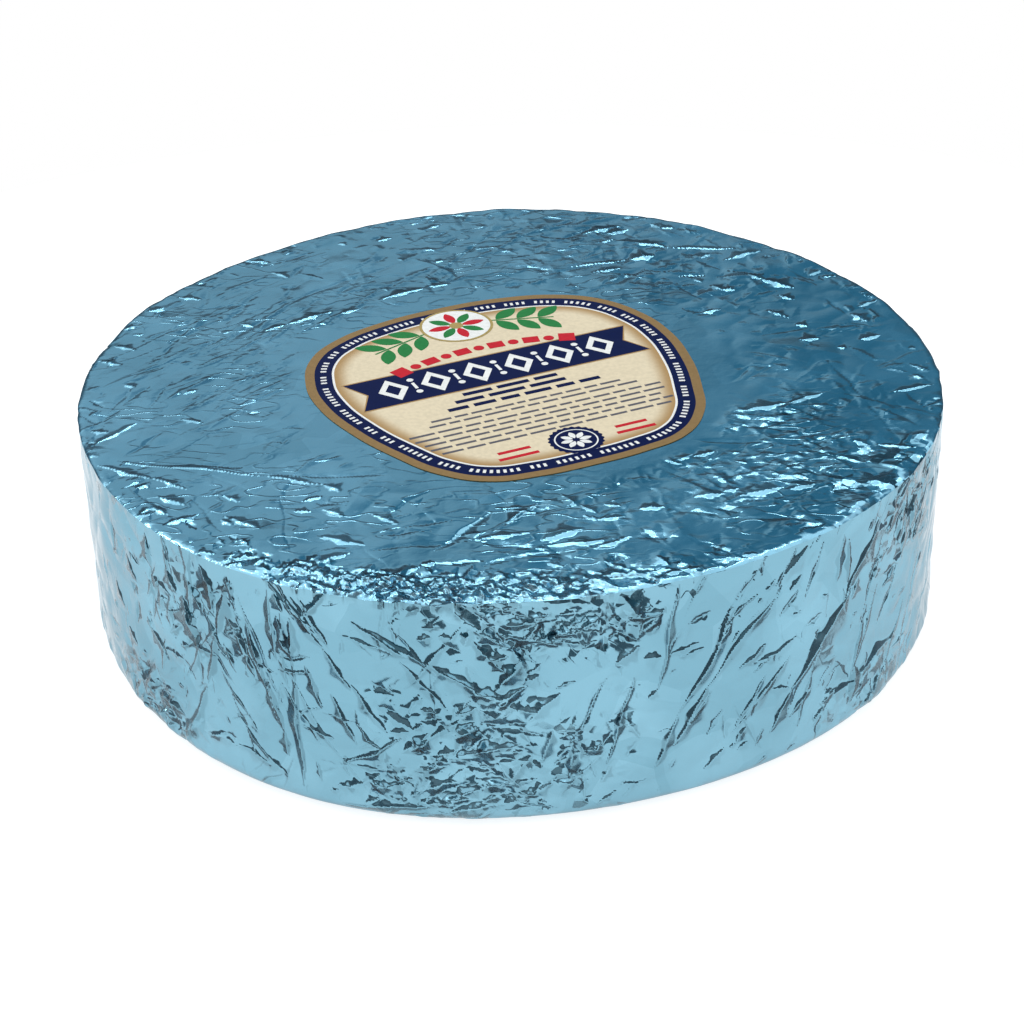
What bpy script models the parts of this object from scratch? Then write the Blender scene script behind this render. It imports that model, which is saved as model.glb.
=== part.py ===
"""Wheel of blue cheese wrapped in blue foil, with a paper label stuck on its flat top.

Units are metres and +Z is up. The origin is the middle of the flat base, and the label faces up.
"""

import math

import bmesh
import bpy
from mathutils import Vector, noise

MM = 0.001

# Driving sizes of the wrapped wheel
WHEEL_RADIUS = 115 * MM
WHEEL_HEIGHT = 63.5 * MM
RIM_RADIUS = 1.6 * MM
BASE_EDGE_RADIUS = 5.2 * MM

# The wheel isn't quite round: waves round its outline as (count, height, angle of a crest)
OUTLINE_WAVES = (
    (2, 0.90 * MM, math.radians(45)),
    (3, 0.65 * MM, math.radians(-19)),
    (4, 0.66 * MM, math.radians(-15)),
    (5, 0.40 * MM, math.radians(26)),
)

# Facets of the foil: small creased ones on wide soft ones, shallow on the top and deeper on the side
FACET_SIZE = 9 * MM
WIDE_FACET_SIZE = 21 * MM
WIDE_FACET_SHARE = 0.7
WIDE_FACET_PLACE = Vector((7.1, 3.3, 1.9))
FACET_LEVEL = 0.25
TOP_FACET_HEIGHT = 0.6 * MM
SIDE_FACET_HEIGHT = 1.3 * MM
SIDE_SET_BACK = 1.0 * MM

# Long pleats down the side, which lean more towards one side of the wheel
PLEAT_COUNT = 21
PLEAT_HEIGHT = 1.1 * MM
PLEAT_LEAN = math.radians(21)
PLEAT_LEAN_CENTRE = math.radians(-40)
PLEAT_WANDER = 1.8
PLEAT_WANDERS = 2
PLEAT_GROUPS = 4
PLEAT_GROUP_EDGE = 0.35

# Dents along the rim
RIM_BAND = 10 * MM
RIM_DENT_SIZE = 13 * MM
RIM_DENT_PLACE = Vector((2.7, 9.2, 5.1))
RIM_DENT_HEIGHT = 1.0 * MM

# Mesh density of the foil
SEGMENTS = 126
TOP_RINGS = 11
SIDE_ROWS = 11
RIM_STEPS = 2
BASE_EDGE_STEPS = 3
SMOOTH_TOP_RADIUS = 46 * MM
SLIP = 0.30
SLIP_SIZE = 3.3 * MM
SHARP_ANGLE = math.radians(14)

# The label: where it lies, how it is turned, and the right half of its outline from top to bottom
LABEL_CENTRE = (0.9 * MM, -4.6 * MM)
LABEL_TURN = math.radians(23.4)
LABEL_THICKNESS = 0.4 * MM
LABEL_GAP = 0.3 * MM
LABEL_CLEAR_RADIUS = 63 * MM
LABEL_RELIEF_START = 57 * MM
LABEL_HALF_OUTLINE = (
    (18.2 * MM, 50.0 * MM),
    (34.0 * MM, 44.8 * MM),
    (43.9 * MM, 36.8 * MM),
    (50.4 * MM, 23.0 * MM),
    (52.0 * MM, 9.0 * MM),
    (49.4 * MM, -8.7 * MM),
    (43.9 * MM, -25.4 * MM),
    (37.8 * MM, -38.0 * MM),
    (27.5 * MM, -47.6 * MM),
    (14.0 * MM, -50.8 * MM),
)
LABEL_TOP = 51.5 * MM
LABEL_BOTTOM = -51.4 * MM
LABEL_CURVE_STEPS = 6

FOIL_COLOUR = (0.20, 0.47, 0.60, 1.0)
FOIL_ROUGHNESS = 0.18
PAPER_COLOUR = (0.78, 0.69, 0.50, 1.0)
PAPER_ROUGHNESS = 0.45


def clear_scene():
    for obj in list(bpy.data.objects):
        bpy.data.objects.remove(obj)


def new_collection(name):
    collection = bpy.data.collections.new(name)
    bpy.context.scene.collection.children.link(collection)
    return collection


def new_material(name, colour, roughness, metallic):
    material = bpy.data.materials.new(name)
    material.use_nodes = True
    shader = material.node_tree.nodes["Principled BSDF"]
    shader.inputs["Base Color"].default_value = colour
    shader.inputs["Roughness"].default_value = roughness
    shader.inputs["Metallic"].default_value = metallic
    material.diffuse_color = colour
    return material


def ramp(value, low, high):
    """0 below low, 1 above high, with a smooth rise between them."""
    share = min(1.0, max(0.0, (value - low) / (high - low)))
    return share * share * (3 - 2 * share)


def outline_offset(angle):
    """How far the wheel's outline stands out from its mean circle at this angle."""
    return sum(
        height * math.cos(count * (angle - crest))
        for count, height, crest in OUTLINE_WAVES
    )


def quarter_arc(centre, radius, start_degrees, steps):
    """Points of a quarter circle in the XZ plane, turning clockwise, without its first point."""
    return [
        centre
        + radius
        * Vector(
            (
                math.cos(math.radians(start_degrees - 90 * i / steps)),
                0,
                math.sin(math.radians(start_degrees - 90 * i / steps)),
            )
        )
        for i in range(1, steps + 1)
    ]


def wheel_profile():
    """Half section of the wheel, from the smooth middle of the top, over the rim, to the flat base."""
    rim_start = WHEEL_RADIUS - RIM_RADIUS
    points = [
        Vector((SMOOTH_TOP_RADIUS + (rim_start - SMOOTH_TOP_RADIUS) * i / TOP_RINGS, 0, WHEEL_HEIGHT))
        for i in range(TOP_RINGS + 1)
    ]
    rim_centre = Vector((rim_start, 0, WHEEL_HEIGHT - RIM_RADIUS))
    points += quarter_arc(rim_centre, RIM_RADIUS, 90, RIM_STEPS)
    side_top = WHEEL_HEIGHT - RIM_RADIUS
    side_height = side_top - BASE_EDGE_RADIUS
    points += [
        Vector((WHEEL_RADIUS, 0, side_top - side_height * i / SIDE_ROWS))
        for i in range(1, SIDE_ROWS + 1)
    ]
    edge_centre = Vector((WHEEL_RADIUS - BASE_EDGE_RADIUS, 0, BASE_EDGE_RADIUS))
    points += quarter_arc(edge_centre, BASE_EDGE_RADIUS, 0, BASE_EDGE_STEPS)
    return points


def turned_wheel():
    """The plain wheel as a bmesh: its profile turned once round Z, closed above and below."""
    mesh = bmesh.new()
    verts = [mesh.verts.new(point) for point in wheel_profile()]
    edges = [mesh.edges.new(pair) for pair in zip(verts, verts[1:])]
    bmesh.ops.spin(
        mesh,
        geom=verts + edges,
        cent=(0, 0, 0),
        axis=(0, 0, 1),
        angle=2 * math.pi,
        steps=SEGMENTS,
        use_merge=True,
    )
    bmesh.ops.holes_fill(mesh, edges=[e for e in mesh.edges if e.is_boundary], sides=0)
    bmesh.ops.recalc_face_normals(mesh, faces=mesh.faces)
    return mesh


def label_clearance(point):
    """0 under the label, 1 where the foil is free to crease."""
    away = math.hypot(point.x - LABEL_CENTRE[0], point.y - LABEL_CENTRE[1])
    return ramp(away, LABEL_RELIEF_START, LABEL_CLEAR_RADIUS)


def facet_relief(point):
    """Shallow dents of the foil, from -1 to 1, with creases where the finer noise field changes sign."""
    small = noise.noise(point / FACET_SIZE)
    wide = noise.noise(point / WIDE_FACET_SIZE + WIDE_FACET_PLACE)
    return abs(small) - FACET_LEVEL + WIDE_FACET_SHARE * wide


def pleat_relief(point, angle):
    """Long pleats of the side, from 0 to 1, in groups with plain foil between them."""
    round_point = Vector((math.cos(angle), math.sin(angle), 0))
    height_share = point.z / WHEEL_HEIGHT
    side_share = 0.5 + 0.5 * math.cos(angle - PLEAT_LEAN_CENTRE)
    lean = PLEAT_LEAN * side_share * (1 - height_share)
    wander = PLEAT_WANDER * noise.noise(PLEAT_WANDERS * round_point + Vector((0, 0, height_share)))
    wave = math.sin(PLEAT_COUNT * (angle + lean) / 2 + wander)
    strength = ramp(noise.noise(PLEAT_GROUPS * round_point), -PLEAT_GROUP_EDGE, PLEAT_GROUP_EDGE)
    return strength * (1 - abs(wave)) ** 2


def crumple(mesh):
    """Moves the wheel's points to its uneven outline and into the relief of the foil."""
    segment = 2 * math.pi / SEGMENTS
    for vert in mesh.verts:
        radius = math.hypot(vert.co.x, vert.co.y)
        angle = math.atan2(vert.co.y, vert.co.x)
        above_base = ramp(vert.co.z, 0, BASE_EDGE_RADIUS)
        on_top = radius < WHEEL_RADIUS - 2 * RIM_RADIUS
        free = above_base * (label_clearance(vert.co) if on_top else 1.0)
        near_rim = ramp(radius, WHEEL_RADIUS - RIM_BAND, WHEEL_RADIUS - RIM_RADIUS)
        near_rim *= ramp(vert.co.z, WHEEL_HEIGHT - RIM_BAND, WHEEL_HEIGHT - RIM_RADIUS)
        rim_dent = noise.noise(vert.co / RIM_DENT_SIZE + RIM_DENT_PLACE)
        lift = RIM_DENT_HEIGHT * rim_dent * near_rim * above_base
        relief = facet_relief(vert.co)
        if on_top:
            lift += TOP_FACET_HEIGHT * relief * free
        else:
            pleat = PLEAT_HEIGHT * pleat_relief(vert.co, angle)
            radius += (SIDE_FACET_HEIGHT * relief + pleat - SIDE_SET_BACK) * free
        angle_slip = SLIP * segment * free * noise.noise(vert.co / SLIP_SIZE)
        radius += outline_offset(angle) * ramp(radius, SMOOTH_TOP_RADIUS, WHEEL_RADIUS)
        turned = angle + angle_slip
        vert.co = Vector((radius * math.cos(turned), radius * math.sin(turned), vert.co.z + lift))


def make_wheel(collection, material):
    mesh = turned_wheel()
    crumple(mesh)
    bmesh.ops.triangulate(mesh, faces=[f for f in mesh.faces if len(f.verts) == 4])
    data = bpy.data.meshes.new("foil_wrapped_wheel")
    mesh.to_mesh(data)
    mesh.free()
    data.materials.append(material)
    data.shade_smooth()
    data.set_sharp_from_angle(angle=SHARP_ANGLE)
    wheel = bpy.data.objects.new("foil_wrapped_wheel", data)
    collection.objects.link(wheel)
    return wheel


def make_label(collection, material):
    """The label as a flat outline with its thickness, lying just above the foil."""
    left_half = [(-x, y) for x, y in reversed(LABEL_HALF_OUTLINE)]
    outline = [(0, LABEL_TOP), *LABEL_HALF_OUTLINE, (0, LABEL_BOTTOM), *left_half]
    curve = bpy.data.curves.new("paper_label", "CURVE")
    curve.dimensions = "2D"
    curve.fill_mode = "BOTH"
    curve.extrude = LABEL_THICKNESS / 2
    curve.resolution_u = LABEL_CURVE_STEPS
    spline = curve.splines.new("BEZIER")
    spline.bezier_points.add(len(outline) - 1)
    for point, (x, y) in zip(spline.bezier_points, outline):
        point.co = (x, y, 0)
        point.handle_left_type = "AUTO"
        point.handle_right_type = "AUTO"
    spline.use_cyclic_u = True
    curve.materials.append(material)
    label = bpy.data.objects.new("paper_label", curve)
    label.location = (*LABEL_CENTRE, WHEEL_HEIGHT + LABEL_GAP + LABEL_THICKNESS / 2)
    label.rotation_euler = (0, 0, LABEL_TURN)
    collection.objects.link(label)
    return label


def main():
    clear_scene()
    collection = new_collection("wrapped_cheese_wheel")
    foil = new_material("blue foil", FOIL_COLOUR, FOIL_ROUGHNESS, metallic=1.0)
    paper = new_material("label paper", PAPER_COLOUR, PAPER_ROUGHNESS, metallic=0.0)
    make_wheel(collection, foil)
    make_label(collection, paper)


main()
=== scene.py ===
"""Wheel of blue cheese in crumpled blue foil, with a printed paper label, on a pale studio floor.

It is laid out as a Blender add-on and run as a script. Units are metres, in the frame of the solids.
"""

import math
from collections import namedtuple

import bmesh
import bpy
import numpy as np
from bpy.props import FloatProperty, FloatVectorProperty, PointerProperty
from mathutils import Matrix, Vector, noise


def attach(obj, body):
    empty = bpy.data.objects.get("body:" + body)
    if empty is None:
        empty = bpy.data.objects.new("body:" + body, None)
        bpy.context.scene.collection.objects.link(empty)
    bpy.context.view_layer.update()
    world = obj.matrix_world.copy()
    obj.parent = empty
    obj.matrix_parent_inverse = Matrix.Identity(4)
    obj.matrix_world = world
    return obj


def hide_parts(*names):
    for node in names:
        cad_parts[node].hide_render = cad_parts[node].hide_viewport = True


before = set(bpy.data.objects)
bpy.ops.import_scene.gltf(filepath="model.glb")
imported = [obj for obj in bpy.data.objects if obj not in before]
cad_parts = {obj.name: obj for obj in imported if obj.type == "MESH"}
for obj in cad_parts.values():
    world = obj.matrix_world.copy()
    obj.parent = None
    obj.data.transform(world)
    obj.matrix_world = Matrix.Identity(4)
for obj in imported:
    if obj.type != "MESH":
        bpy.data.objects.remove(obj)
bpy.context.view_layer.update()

bl_info = {
    "name": "Foil Wrapped Cheese Wheel",
    "version": (1, 0, 0),
    "blender": (4, 5, 0),
    "location": "View3D > Sidebar > Cheese Wheel",
    "description": "Makes a wheel of blue cheese in crumpled blue foil, with a printed paper label",
    "category": "Object",
}

MM = 0.001
TURN = 2 * math.pi

# The wrapped wheel, as the solids have it, with a finer rim
WHEEL_RADIUS = 115 * MM
WHEEL_HEIGHT = 63.5 * MM
RIM_RADIUS = 1.25 * MM
RIM_DROP = 0.6 * MM
RIM_BEND = 0.5 * MM
RIM_BEND_DROP = 0.22 * MM
BASE_EDGE_RADIUS = 5.2 * MM
OUTLINE_WAVES = (
    (2, 0.90 * MM, math.radians(45)),
    (3, 0.65 * MM, math.radians(-19)),
    (4, 0.66 * MM, math.radians(-15)),
    (5, 0.40 * MM, math.radians(26)),
)
SMOOTH_TOP_RADIUS = 46 * MM
FOIL_UNDER_LABEL = 2 * MM

# Facets and rim dents, as the solids have them
FACET_SIZE = 9 * MM
WIDE_FACET_SIZE = 21 * MM
WIDE_FACET_SHARE = 0.7
WIDE_FACET_PLACE = (7.1, 3.3, 1.9)
FACET_LEVEL = 0.25
TOP_FACET_HEIGHT = 0.6 * MM
SIDE_FACET_HEIGHT = 1.3 * MM
RIM_BAND = 10 * MM
RIM_DENT_SIZE = 13 * MM
RIM_DENT_PLACE = (2.7, 9.2, 5.1)
RIM_DENT_HEIGHT = 1.0 * MM

# The label, as the solids have it
LABEL_CENTRE = (0.9 * MM, -4.6 * MM)
LABEL_TURN = math.radians(23.4)
LABEL_RELIEF_START = 57 * MM
LABEL_CLEAR_RADIUS = 63 * MM
LABEL_HALF_OUTLINE = (
    (18.2 * MM, 50.0 * MM),
    (34.0 * MM, 44.8 * MM),
    (43.9 * MM, 36.8 * MM),
    (50.4 * MM, 23.0 * MM),
    (52.0 * MM, 9.0 * MM),
    (49.4 * MM, -8.7 * MM),
    (43.9 * MM, -25.4 * MM),
    (37.8 * MM, -38.0 * MM),
    (27.5 * MM, -47.6 * MM),
    (14.0 * MM, -50.8 * MM),
)
LABEL_TOP = 51.5 * MM
LABEL_BOTTOM = -51.4 * MM

# The paper and the ink on it
LABEL_LIFT = 0.03 * MM
SHEET_THICKNESS = 0.15 * MM
INK_THICKNESS = 0.012 * MM
INK_STEP = 0.015 * MM

# Printed rings from the label's edge inwards: width and material slot
TAN_SLOT, NAVY_SLOT, WHITE_SLOT, FIELD_SLOT = range(4)
LABEL_RINGS = (
    (2.6 * MM, TAN_SLOT),
    (2.35 * MM, NAVY_SLOT),
    (2.35 * MM, NAVY_SLOT),
    (0.6 * MM, WHITE_SLOT),
    (5.0 * MM, FIELD_SLOT),
)

# Print on the label, in millimetres in the label's own frame. A pair of sizes is a width and a height.
RING_DASH = (0.8, 1.6)
RING_DASH_PITCH, RING_WORD_PITCH = 1.7 * MM, 3.6 * MM
RING_FIRST_WORD, RING_WORDS = 5, (3, 9)
BANNER_HALF_LENGTH = 41.8
BANNER_NOTCH = 4.2
BANNER_LOW, BANNER_HIGH = 1.0, 17.3
BANNER_EDGE = 0.5
LOZENGES = 6
LOZENGE_PITCH = 12.2
LOZENGE, LOZENGE_HEART = (8.6, 12.6), (4.6, 6.8)
BEAD_RADIUS, BEAD_HEIGHT, BEAD_BAR = 0.95, 3.6, (0.9, 3.6)
ARCH_BLOCKS = 11
ARCH_RADIUS = 70.0
ARCH_CENTRE = -47.5
ARCH_PITCH = 0.072
ARCH_DOT_RADIUS = 1.5
ARCH_BLOCK, ARCH_END_BLOCK = (4.6, 3.6), (4.6, 4.8)
MEDALLION_Y = 38.5
SPRIG_START, SPRIG_END = (10.0, 37.4), (27.0, 31.6)
SPRIG_STEM, SPRIG_FOOT = 0.6, 0.2
SPRIG_LEAVES = 3
SPRIG_LEAF = (9.0, 4.2)
LEAF_POINT = 0.8
SPRIG_SPREAD = 0.85
PETALS = 8
PETAL, PETAL_START = (6.8, 3.0), 1.6
FLOWER_MIDDLE = 2.0
SEAL_PLACE = (1.0, -37.7)
SEAL_RADIUS = 7.1
SEAL_SCALLOPS, SEAL_SCALLOP_DEPTH = 24, 0.035
SEAL_PETAL, SEAL_PETAL_START = (3.4, 1.7), 0.9
RED_MARK_PLACES, RED_MARK_HEIGHT = (-15.5, 17.5), 1.3
RED_MARK_LINES = ((-35.8, 9), (-39.0, 11))

# Rows of small print: height of the row in the label's frame and width, then their bars' own height and
# their least and greatest length
BOLD_LINES = ((-1.6, 30), (-4.9, 37), (-8.3, 44))
BOLD_BAR = (1.7, 5, 11)
FINE_LINES = (
    (-12.3, 57),
    (-14.9, 60),
    (-18.3, 74),
    (-21.1, 73),
    (-23.9, 70),
    (-26.7, 69),
    (-29.5, 65),
)
FINE_BAR = (0.95, 2.2, 7.5)
WORD_GAP, WORD_GAP_SHARE = 0.3, 0.75

# Over this distance from the rim the relief of the top gives way to that of the side
RIM_JOIN = 4.0 * MM

# Share of the folds' height that the mesh has. The slope of their faces goes into the foil's finish.
FOLD_SHARE = 0.3
FOLDS_START = 1.8 * MM

# Form of every fold: how far and how often it sways and swells along its length, how its ends taper, and
# how soon its faces reach their full lean
SWAY_SHARE, SWAY_TURNS = 0.025, 5
SWELL_SHARE, SWELL_TURNS = 0.25, 8
TAPER_POWER = 0.7
TINY = 1e-9
FACE_RISE = 3

# Form of a seeded fold: its least half length in widths, how much its length varies, its greatest second
# width as a share of the first, how far it bows as a share of its half length, and two ridges to a groove
LEAST_LENGTH = 1.2
LENGTH_SHAPE = 2.5
MOST_SECOND_WIDTH = 2.6
BOW_SPREAD = 0.07
RIDGES_AND_GROOVES = (1, 1, -1)

Fold = namedtuple("Fold", "across along direction half_length width other_width rise bow")

# A group of seeded folds: middle azimuth (or None, all round) and its spread in degrees, height above
# the base or distance from the middle and its spread in millimetres, count, direction and turn in
# degrees, mean length, least and greatest width in millimetres, least and greatest steepness
FoldGroup = namedtuple(
    "FoldGroup",
    "azimuth azimuth_spread place place_spread count direction turn length"
    " width_low width_high steep_low steep_high",
)

SIDE_GROUPS = (
    FoldGroup(None, 0, 32, 30, 90, 60, 40, 26, 6.0, 13.0, 0.03, 0.08),
    FoldGroup(None, 0, 33, 29, 560, 60, 45, 5, 0.5, 0.9, 0.25, 0.55),
    FoldGroup(None, 0, 32, 28, 170, 62, 30, 9, 0.8, 1.5, 0.35, 0.75),
    FoldGroup(312, 17, 34, 17, 26, 63, 7, 15, 0.5, 0.9, 0.5, 1.0),
    FoldGroup(236, 12, 36, 16, 30, -62, 12, 14, 0.5, 0.9, 0.5, 1.0),
    FoldGroup(30, 20, 34, 17, 60, -60, 14, 18, 0.9, 2.2, 0.5, 1.0),
    FoldGroup(95, 24, 34, 17, 70, 62, 12, 20, 0.9, 2.4, 0.5, 1.0),
    FoldGroup(150, 16, 34, 17, 60, -58, 16, 18, 0.9, 2.2, 0.5, 1.0),
    FoldGroup(266, 9, 18, 10, 120, 8, 45, 6, 0.9, 2.4, 0.3, 0.6),
    FoldGroup(274, 7, 55, 4, 90, 15, 50, 6, 0.9, 2.2, 0.35, 0.7),
    FoldGroup(218, 4, 9, 5, 60, 40, 25, 7, 1.0, 2.4, 0.35, 0.7),
    FoldGroup(227, 7, 46, 9, 34, 70, 30, 7, 0.9, 2.0, 0.35, 0.7),
    FoldGroup(322, 6, 10, 5, 30, 30, 50, 7, 1.0, 2.4, 0.3, 0.6),
    FoldGroup(330, 7, 52, 8, 60, 50, 50, 7, 1.0, 2.2, 0.3, 0.7),
    FoldGroup(20, 8, 22, 11, 110, 20, 45, 7, 1.0, 2.6, 0.3, 0.65),
    FoldGroup(72, 9, 44, 11, 100, 50, 45, 7, 1.0, 2.6, 0.3, 0.65),
    FoldGroup(118, 8, 16, 10, 110, 20, 45, 7, 1.0, 2.6, 0.3, 0.65),
    FoldGroup(160, 7, 40, 12, 90, 50, 45, 7, 1.0, 2.6, 0.3, 0.65),
)

# Crumpled places: middle azimuth and half width in degrees, low and high height, inner radius in
# millimetres, and strength
CRUMPLES = (
    (271, 29, 57, 90, 106, 1.0),
    (180, 400, 60, 90, 112, 0.12),
    (215, 30, 57, 90, 111, 0.3),
    (268, 20, -9, 38, 0, 0.9),
    (276, 13, 46, 64, 112, 0.9),
    (218, 14, -9, 20, 0, 0.9),
    (225, 16, 36, 60, 112, 0.6),
    (324, 14, -9, 16, 0, 0.7),
    (328, 12, 42, 90, 100, 0.8),
    (20, 20, 4, 40, 0, 0.8),
    (72, 22, 26, 62, 112, 0.8),
    (118, 20, -9, 32, 0, 0.8),
    (160, 18, 24, 58, 112, 0.7),
)

# Soft edge of the crumpled places, in millimetres up the side and across the top, and their patches
CRUMPLE_EDGE_HEIGHT, CRUMPLE_EDGE_RADIUS = 4, 3
CRUMPLE_PATCH_SIZE = 7 * MM
CRUMPLE_PATCH_PLACE = (4.4, 8.1, 0.6)
CRUMPLE_PATCH_LOW, CRUMPLE_PATCH_HIGH = -0.35, 0.25

TOP_GROUPS = (
    FoldGroup(None, 0, 85, 28, 60, 20, 60, 24, 6.0, 12.0, 0.02, 0.05),
    FoldGroup(None, 0, 84, 30, 240, 15, 45, 6, 0.8, 1.6, 0.05, 0.17),
    FoldGroup(None, 0, 86, 27, 20, 5, 25, 8, 0.9, 1.3, 0.35, 0.6),
    FoldGroup(None, 0, 110.5, 3.5, 150, 0, 90, 4, 0.8, 1.5, 0.2, 0.5),
    FoldGroup(262, 13, 109, 3, 420, 0, 60, 4.5, 1.0, 1.9, 0.35, 0.8),
    FoldGroup(318, 22, 86, 15, 460, 0, 90, 7, 1.1, 2.4, 0.06, 0.2),
    FoldGroup(170, 26, 84, 19, 150, 50, 11, 19, 0.9, 1.8, 0.05, 0.16),
    FoldGroup(65, 30, 88, 15, 260, 0, 90, 7, 1.1, 2.4, 0.06, 0.2),
)

# Folds of the top that the photograph shows, read off enlargements that look straight down on it.
# They are in the enlargements' pixels: start x and y, end x and y, then width in millimetres and kind.
TOP_PIXELS_A_MM = 4.97
TOP_ENLARGED = 2
RIDGE, GROOVE = 1, -1
FRONT_LEFT_FOLDS = (
    (165, 535, 312, 612, 1.3, RIDGE),
    (308, 600, 412, 668, 1.1, RIDGE),
    (338, 698, 418, 740, 1.6, RIDGE),
    (308, 778, 332, 742, 1.0, RIDGE),
    (328, 744, 384, 788, 1.4, RIDGE),
    (503, 698, 548, 728, 1.2, RIDGE),
    (513, 796, 612, 857, 1.3, RIDGE),
    (508, 812, 544, 838, 1.4, RIDGE),
    (743, 893, 858, 948, 1.5, RIDGE),
    (832, 974, 738, 1022, 1.4, RIDGE),
    (742, 1018, 672, 1088, 1.4, RIDGE),
    (748, 773, 804, 811, 1.3, RIDGE),
    (743, 656, 788, 694, 1.5, RIDGE),
    (863, 801, 934, 853, 1.1, RIDGE),
    (1182, 878, 1262, 782, 1.2, RIDGE),
    (196, 514, 592, 602, 0.8, RIDGE),
    (588, 600, 748, 660, 0.9, RIDGE),
    (242, 306, 128, 432, 1.2, RIDGE),
    (172, 82, 204, 108, 1.5, RIDGE),
    (332, 152, 374, 122, 1.2, RIDGE),
    (678, 780, 724, 783, 1.0, RIDGE),
    (878, 1112, 992, 1048, 1.8, RIDGE),
    (798, 1082, 902, 1078, 1.4, RIDGE),
    (1108, 942, 1244, 924, 1.2, RIDGE),
    (538, 988, 562, 952, 1.0, RIDGE),
    (1042, 1132, 1084, 1108, 1.4, RIDGE),
    (588, 604, 1062, 630, 0.9, GROOVE),
    (858, 970, 1104, 946, 1.2, GROOVE),
    (1098, 948, 1280, 1012, 1.4, GROOVE),
    (618, 362, 764, 343, 1.6, GROOVE),
    (186, 196, 244, 96, 1.4, GROOVE),
    (118, 318, 186, 226, 1.2, GROOVE),
    (716, 742, 806, 758, 1.2, GROOVE),
    (938, 872, 1060, 846, 1.2, GROOVE),
    (880, 905, 1010, 890, 1.0, GROOVE),
    (1090, 640, 1200, 780, 0.9, GROOVE),
    (398, 540, 560, 566, 1.0, GROOVE),
    (640, 690, 690, 980, 1.0, GROOVE),
    (250, 640, 420, 820, 1.2, GROOVE),
    (420, 700, 560, 930, 1.0, GROOVE),
    (60, 240, 160, 330, 1.0, GROOVE),
    (210, 60, 150, 260, 1.1, GROOVE),
    (300, 60, 250, 240, 1.0, GROOVE),
)
FRONT_RIGHT_FOLDS = (
    (678, 328, 802, 288, 2.0, RIDGE),
    (798, 292, 904, 232, 1.6, RIDGE),
    (1073, 242, 1194, 198, 1.2, RIDGE),
    (858, 562, 954, 618, 1.6, RIDGE),
    (438, 562, 508, 608, 1.2, RIDGE),
    (488, 588, 538, 552, 1.3, RIDGE),
    (533, 567, 599, 543, 1.2, RIDGE),
    (306, 636, 328, 674, 1.0, RIDGE),
    (372, 628, 414, 602, 1.0, RIDGE),
    (640, 598, 666, 610, 1.0, RIDGE),
    (198, 736, 244, 814, 1.3, RIDGE),
    (242, 798, 288, 848, 1.2, RIDGE),
    (57, 878, 144, 781, 1.4, RIDGE),
    (146, 962, 254, 912, 2.4, RIDGE),
    (156, 984, 314, 976, 1.5, RIDGE),
    (522, 777, 604, 763, 1.8, RIDGE),
    (597, 752, 639, 738, 1.4, RIDGE),
    (636, 778, 744, 733, 2.6, RIDGE),
    (747, 748, 829, 720, 1.6, RIDGE),
    (382, 829, 454, 824, 1.8, RIDGE),
    (302, 803, 344, 813, 1.0, RIDGE),
    (1012, 608, 1064, 556, 1.4, RIDGE),
    (987, 628, 1044, 663, 1.4, RIDGE),
    (942, 497, 978, 533, 1.6, RIDGE),
    (955, 712, 1015, 742, 4.0, RIDGE),
    (876, 866, 964, 776, 3.4, RIDGE),
    (282, 877, 354, 863, 1.3, RIDGE),
    (156, 1062, 194, 1082, 1.2, RIDGE),
    (498, 478, 764, 510, 1.0, GROOVE),
    (758, 508, 1004, 642, 1.2, GROOVE),
    (928, 16, 1002, 272, 1.2, GROOVE),
    (998, 268, 1047, 474, 1.2, GROOVE),
    (598, 884, 834, 896, 1.5, GROOVE),
    (0, 1062, 364, 974, 1.7, GROOVE),
    (356, 966, 474, 970, 1.5, GROOVE),
    (620, 808, 764, 778, 1.2, GROOVE),
    (740, 60, 640, 200, 1.2, GROOVE),
    (660, 200, 600, 330, 1.2, GROOVE),
    (640, 400, 800, 440, 1.4, GROOVE),
    (560, 690, 720, 640, 1.4, GROOVE),
    (780, 640, 900, 700, 1.4, GROOVE),
    (0, 1010, 300, 960, 1.2, GROOVE),
    (560, 830, 640, 860, 1.2, GROOVE),
    (820, 330, 930, 420, 1.4, GROOVE),
    (700, 430, 820, 370, 1.3, GROOVE),
    (780, 480, 900, 460, 1.2, GROOVE),
    (1050, 330, 1120, 440, 1.6, GROOVE),
    (1110, 240, 1150, 330, 1.6, GROOVE),
)
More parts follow.
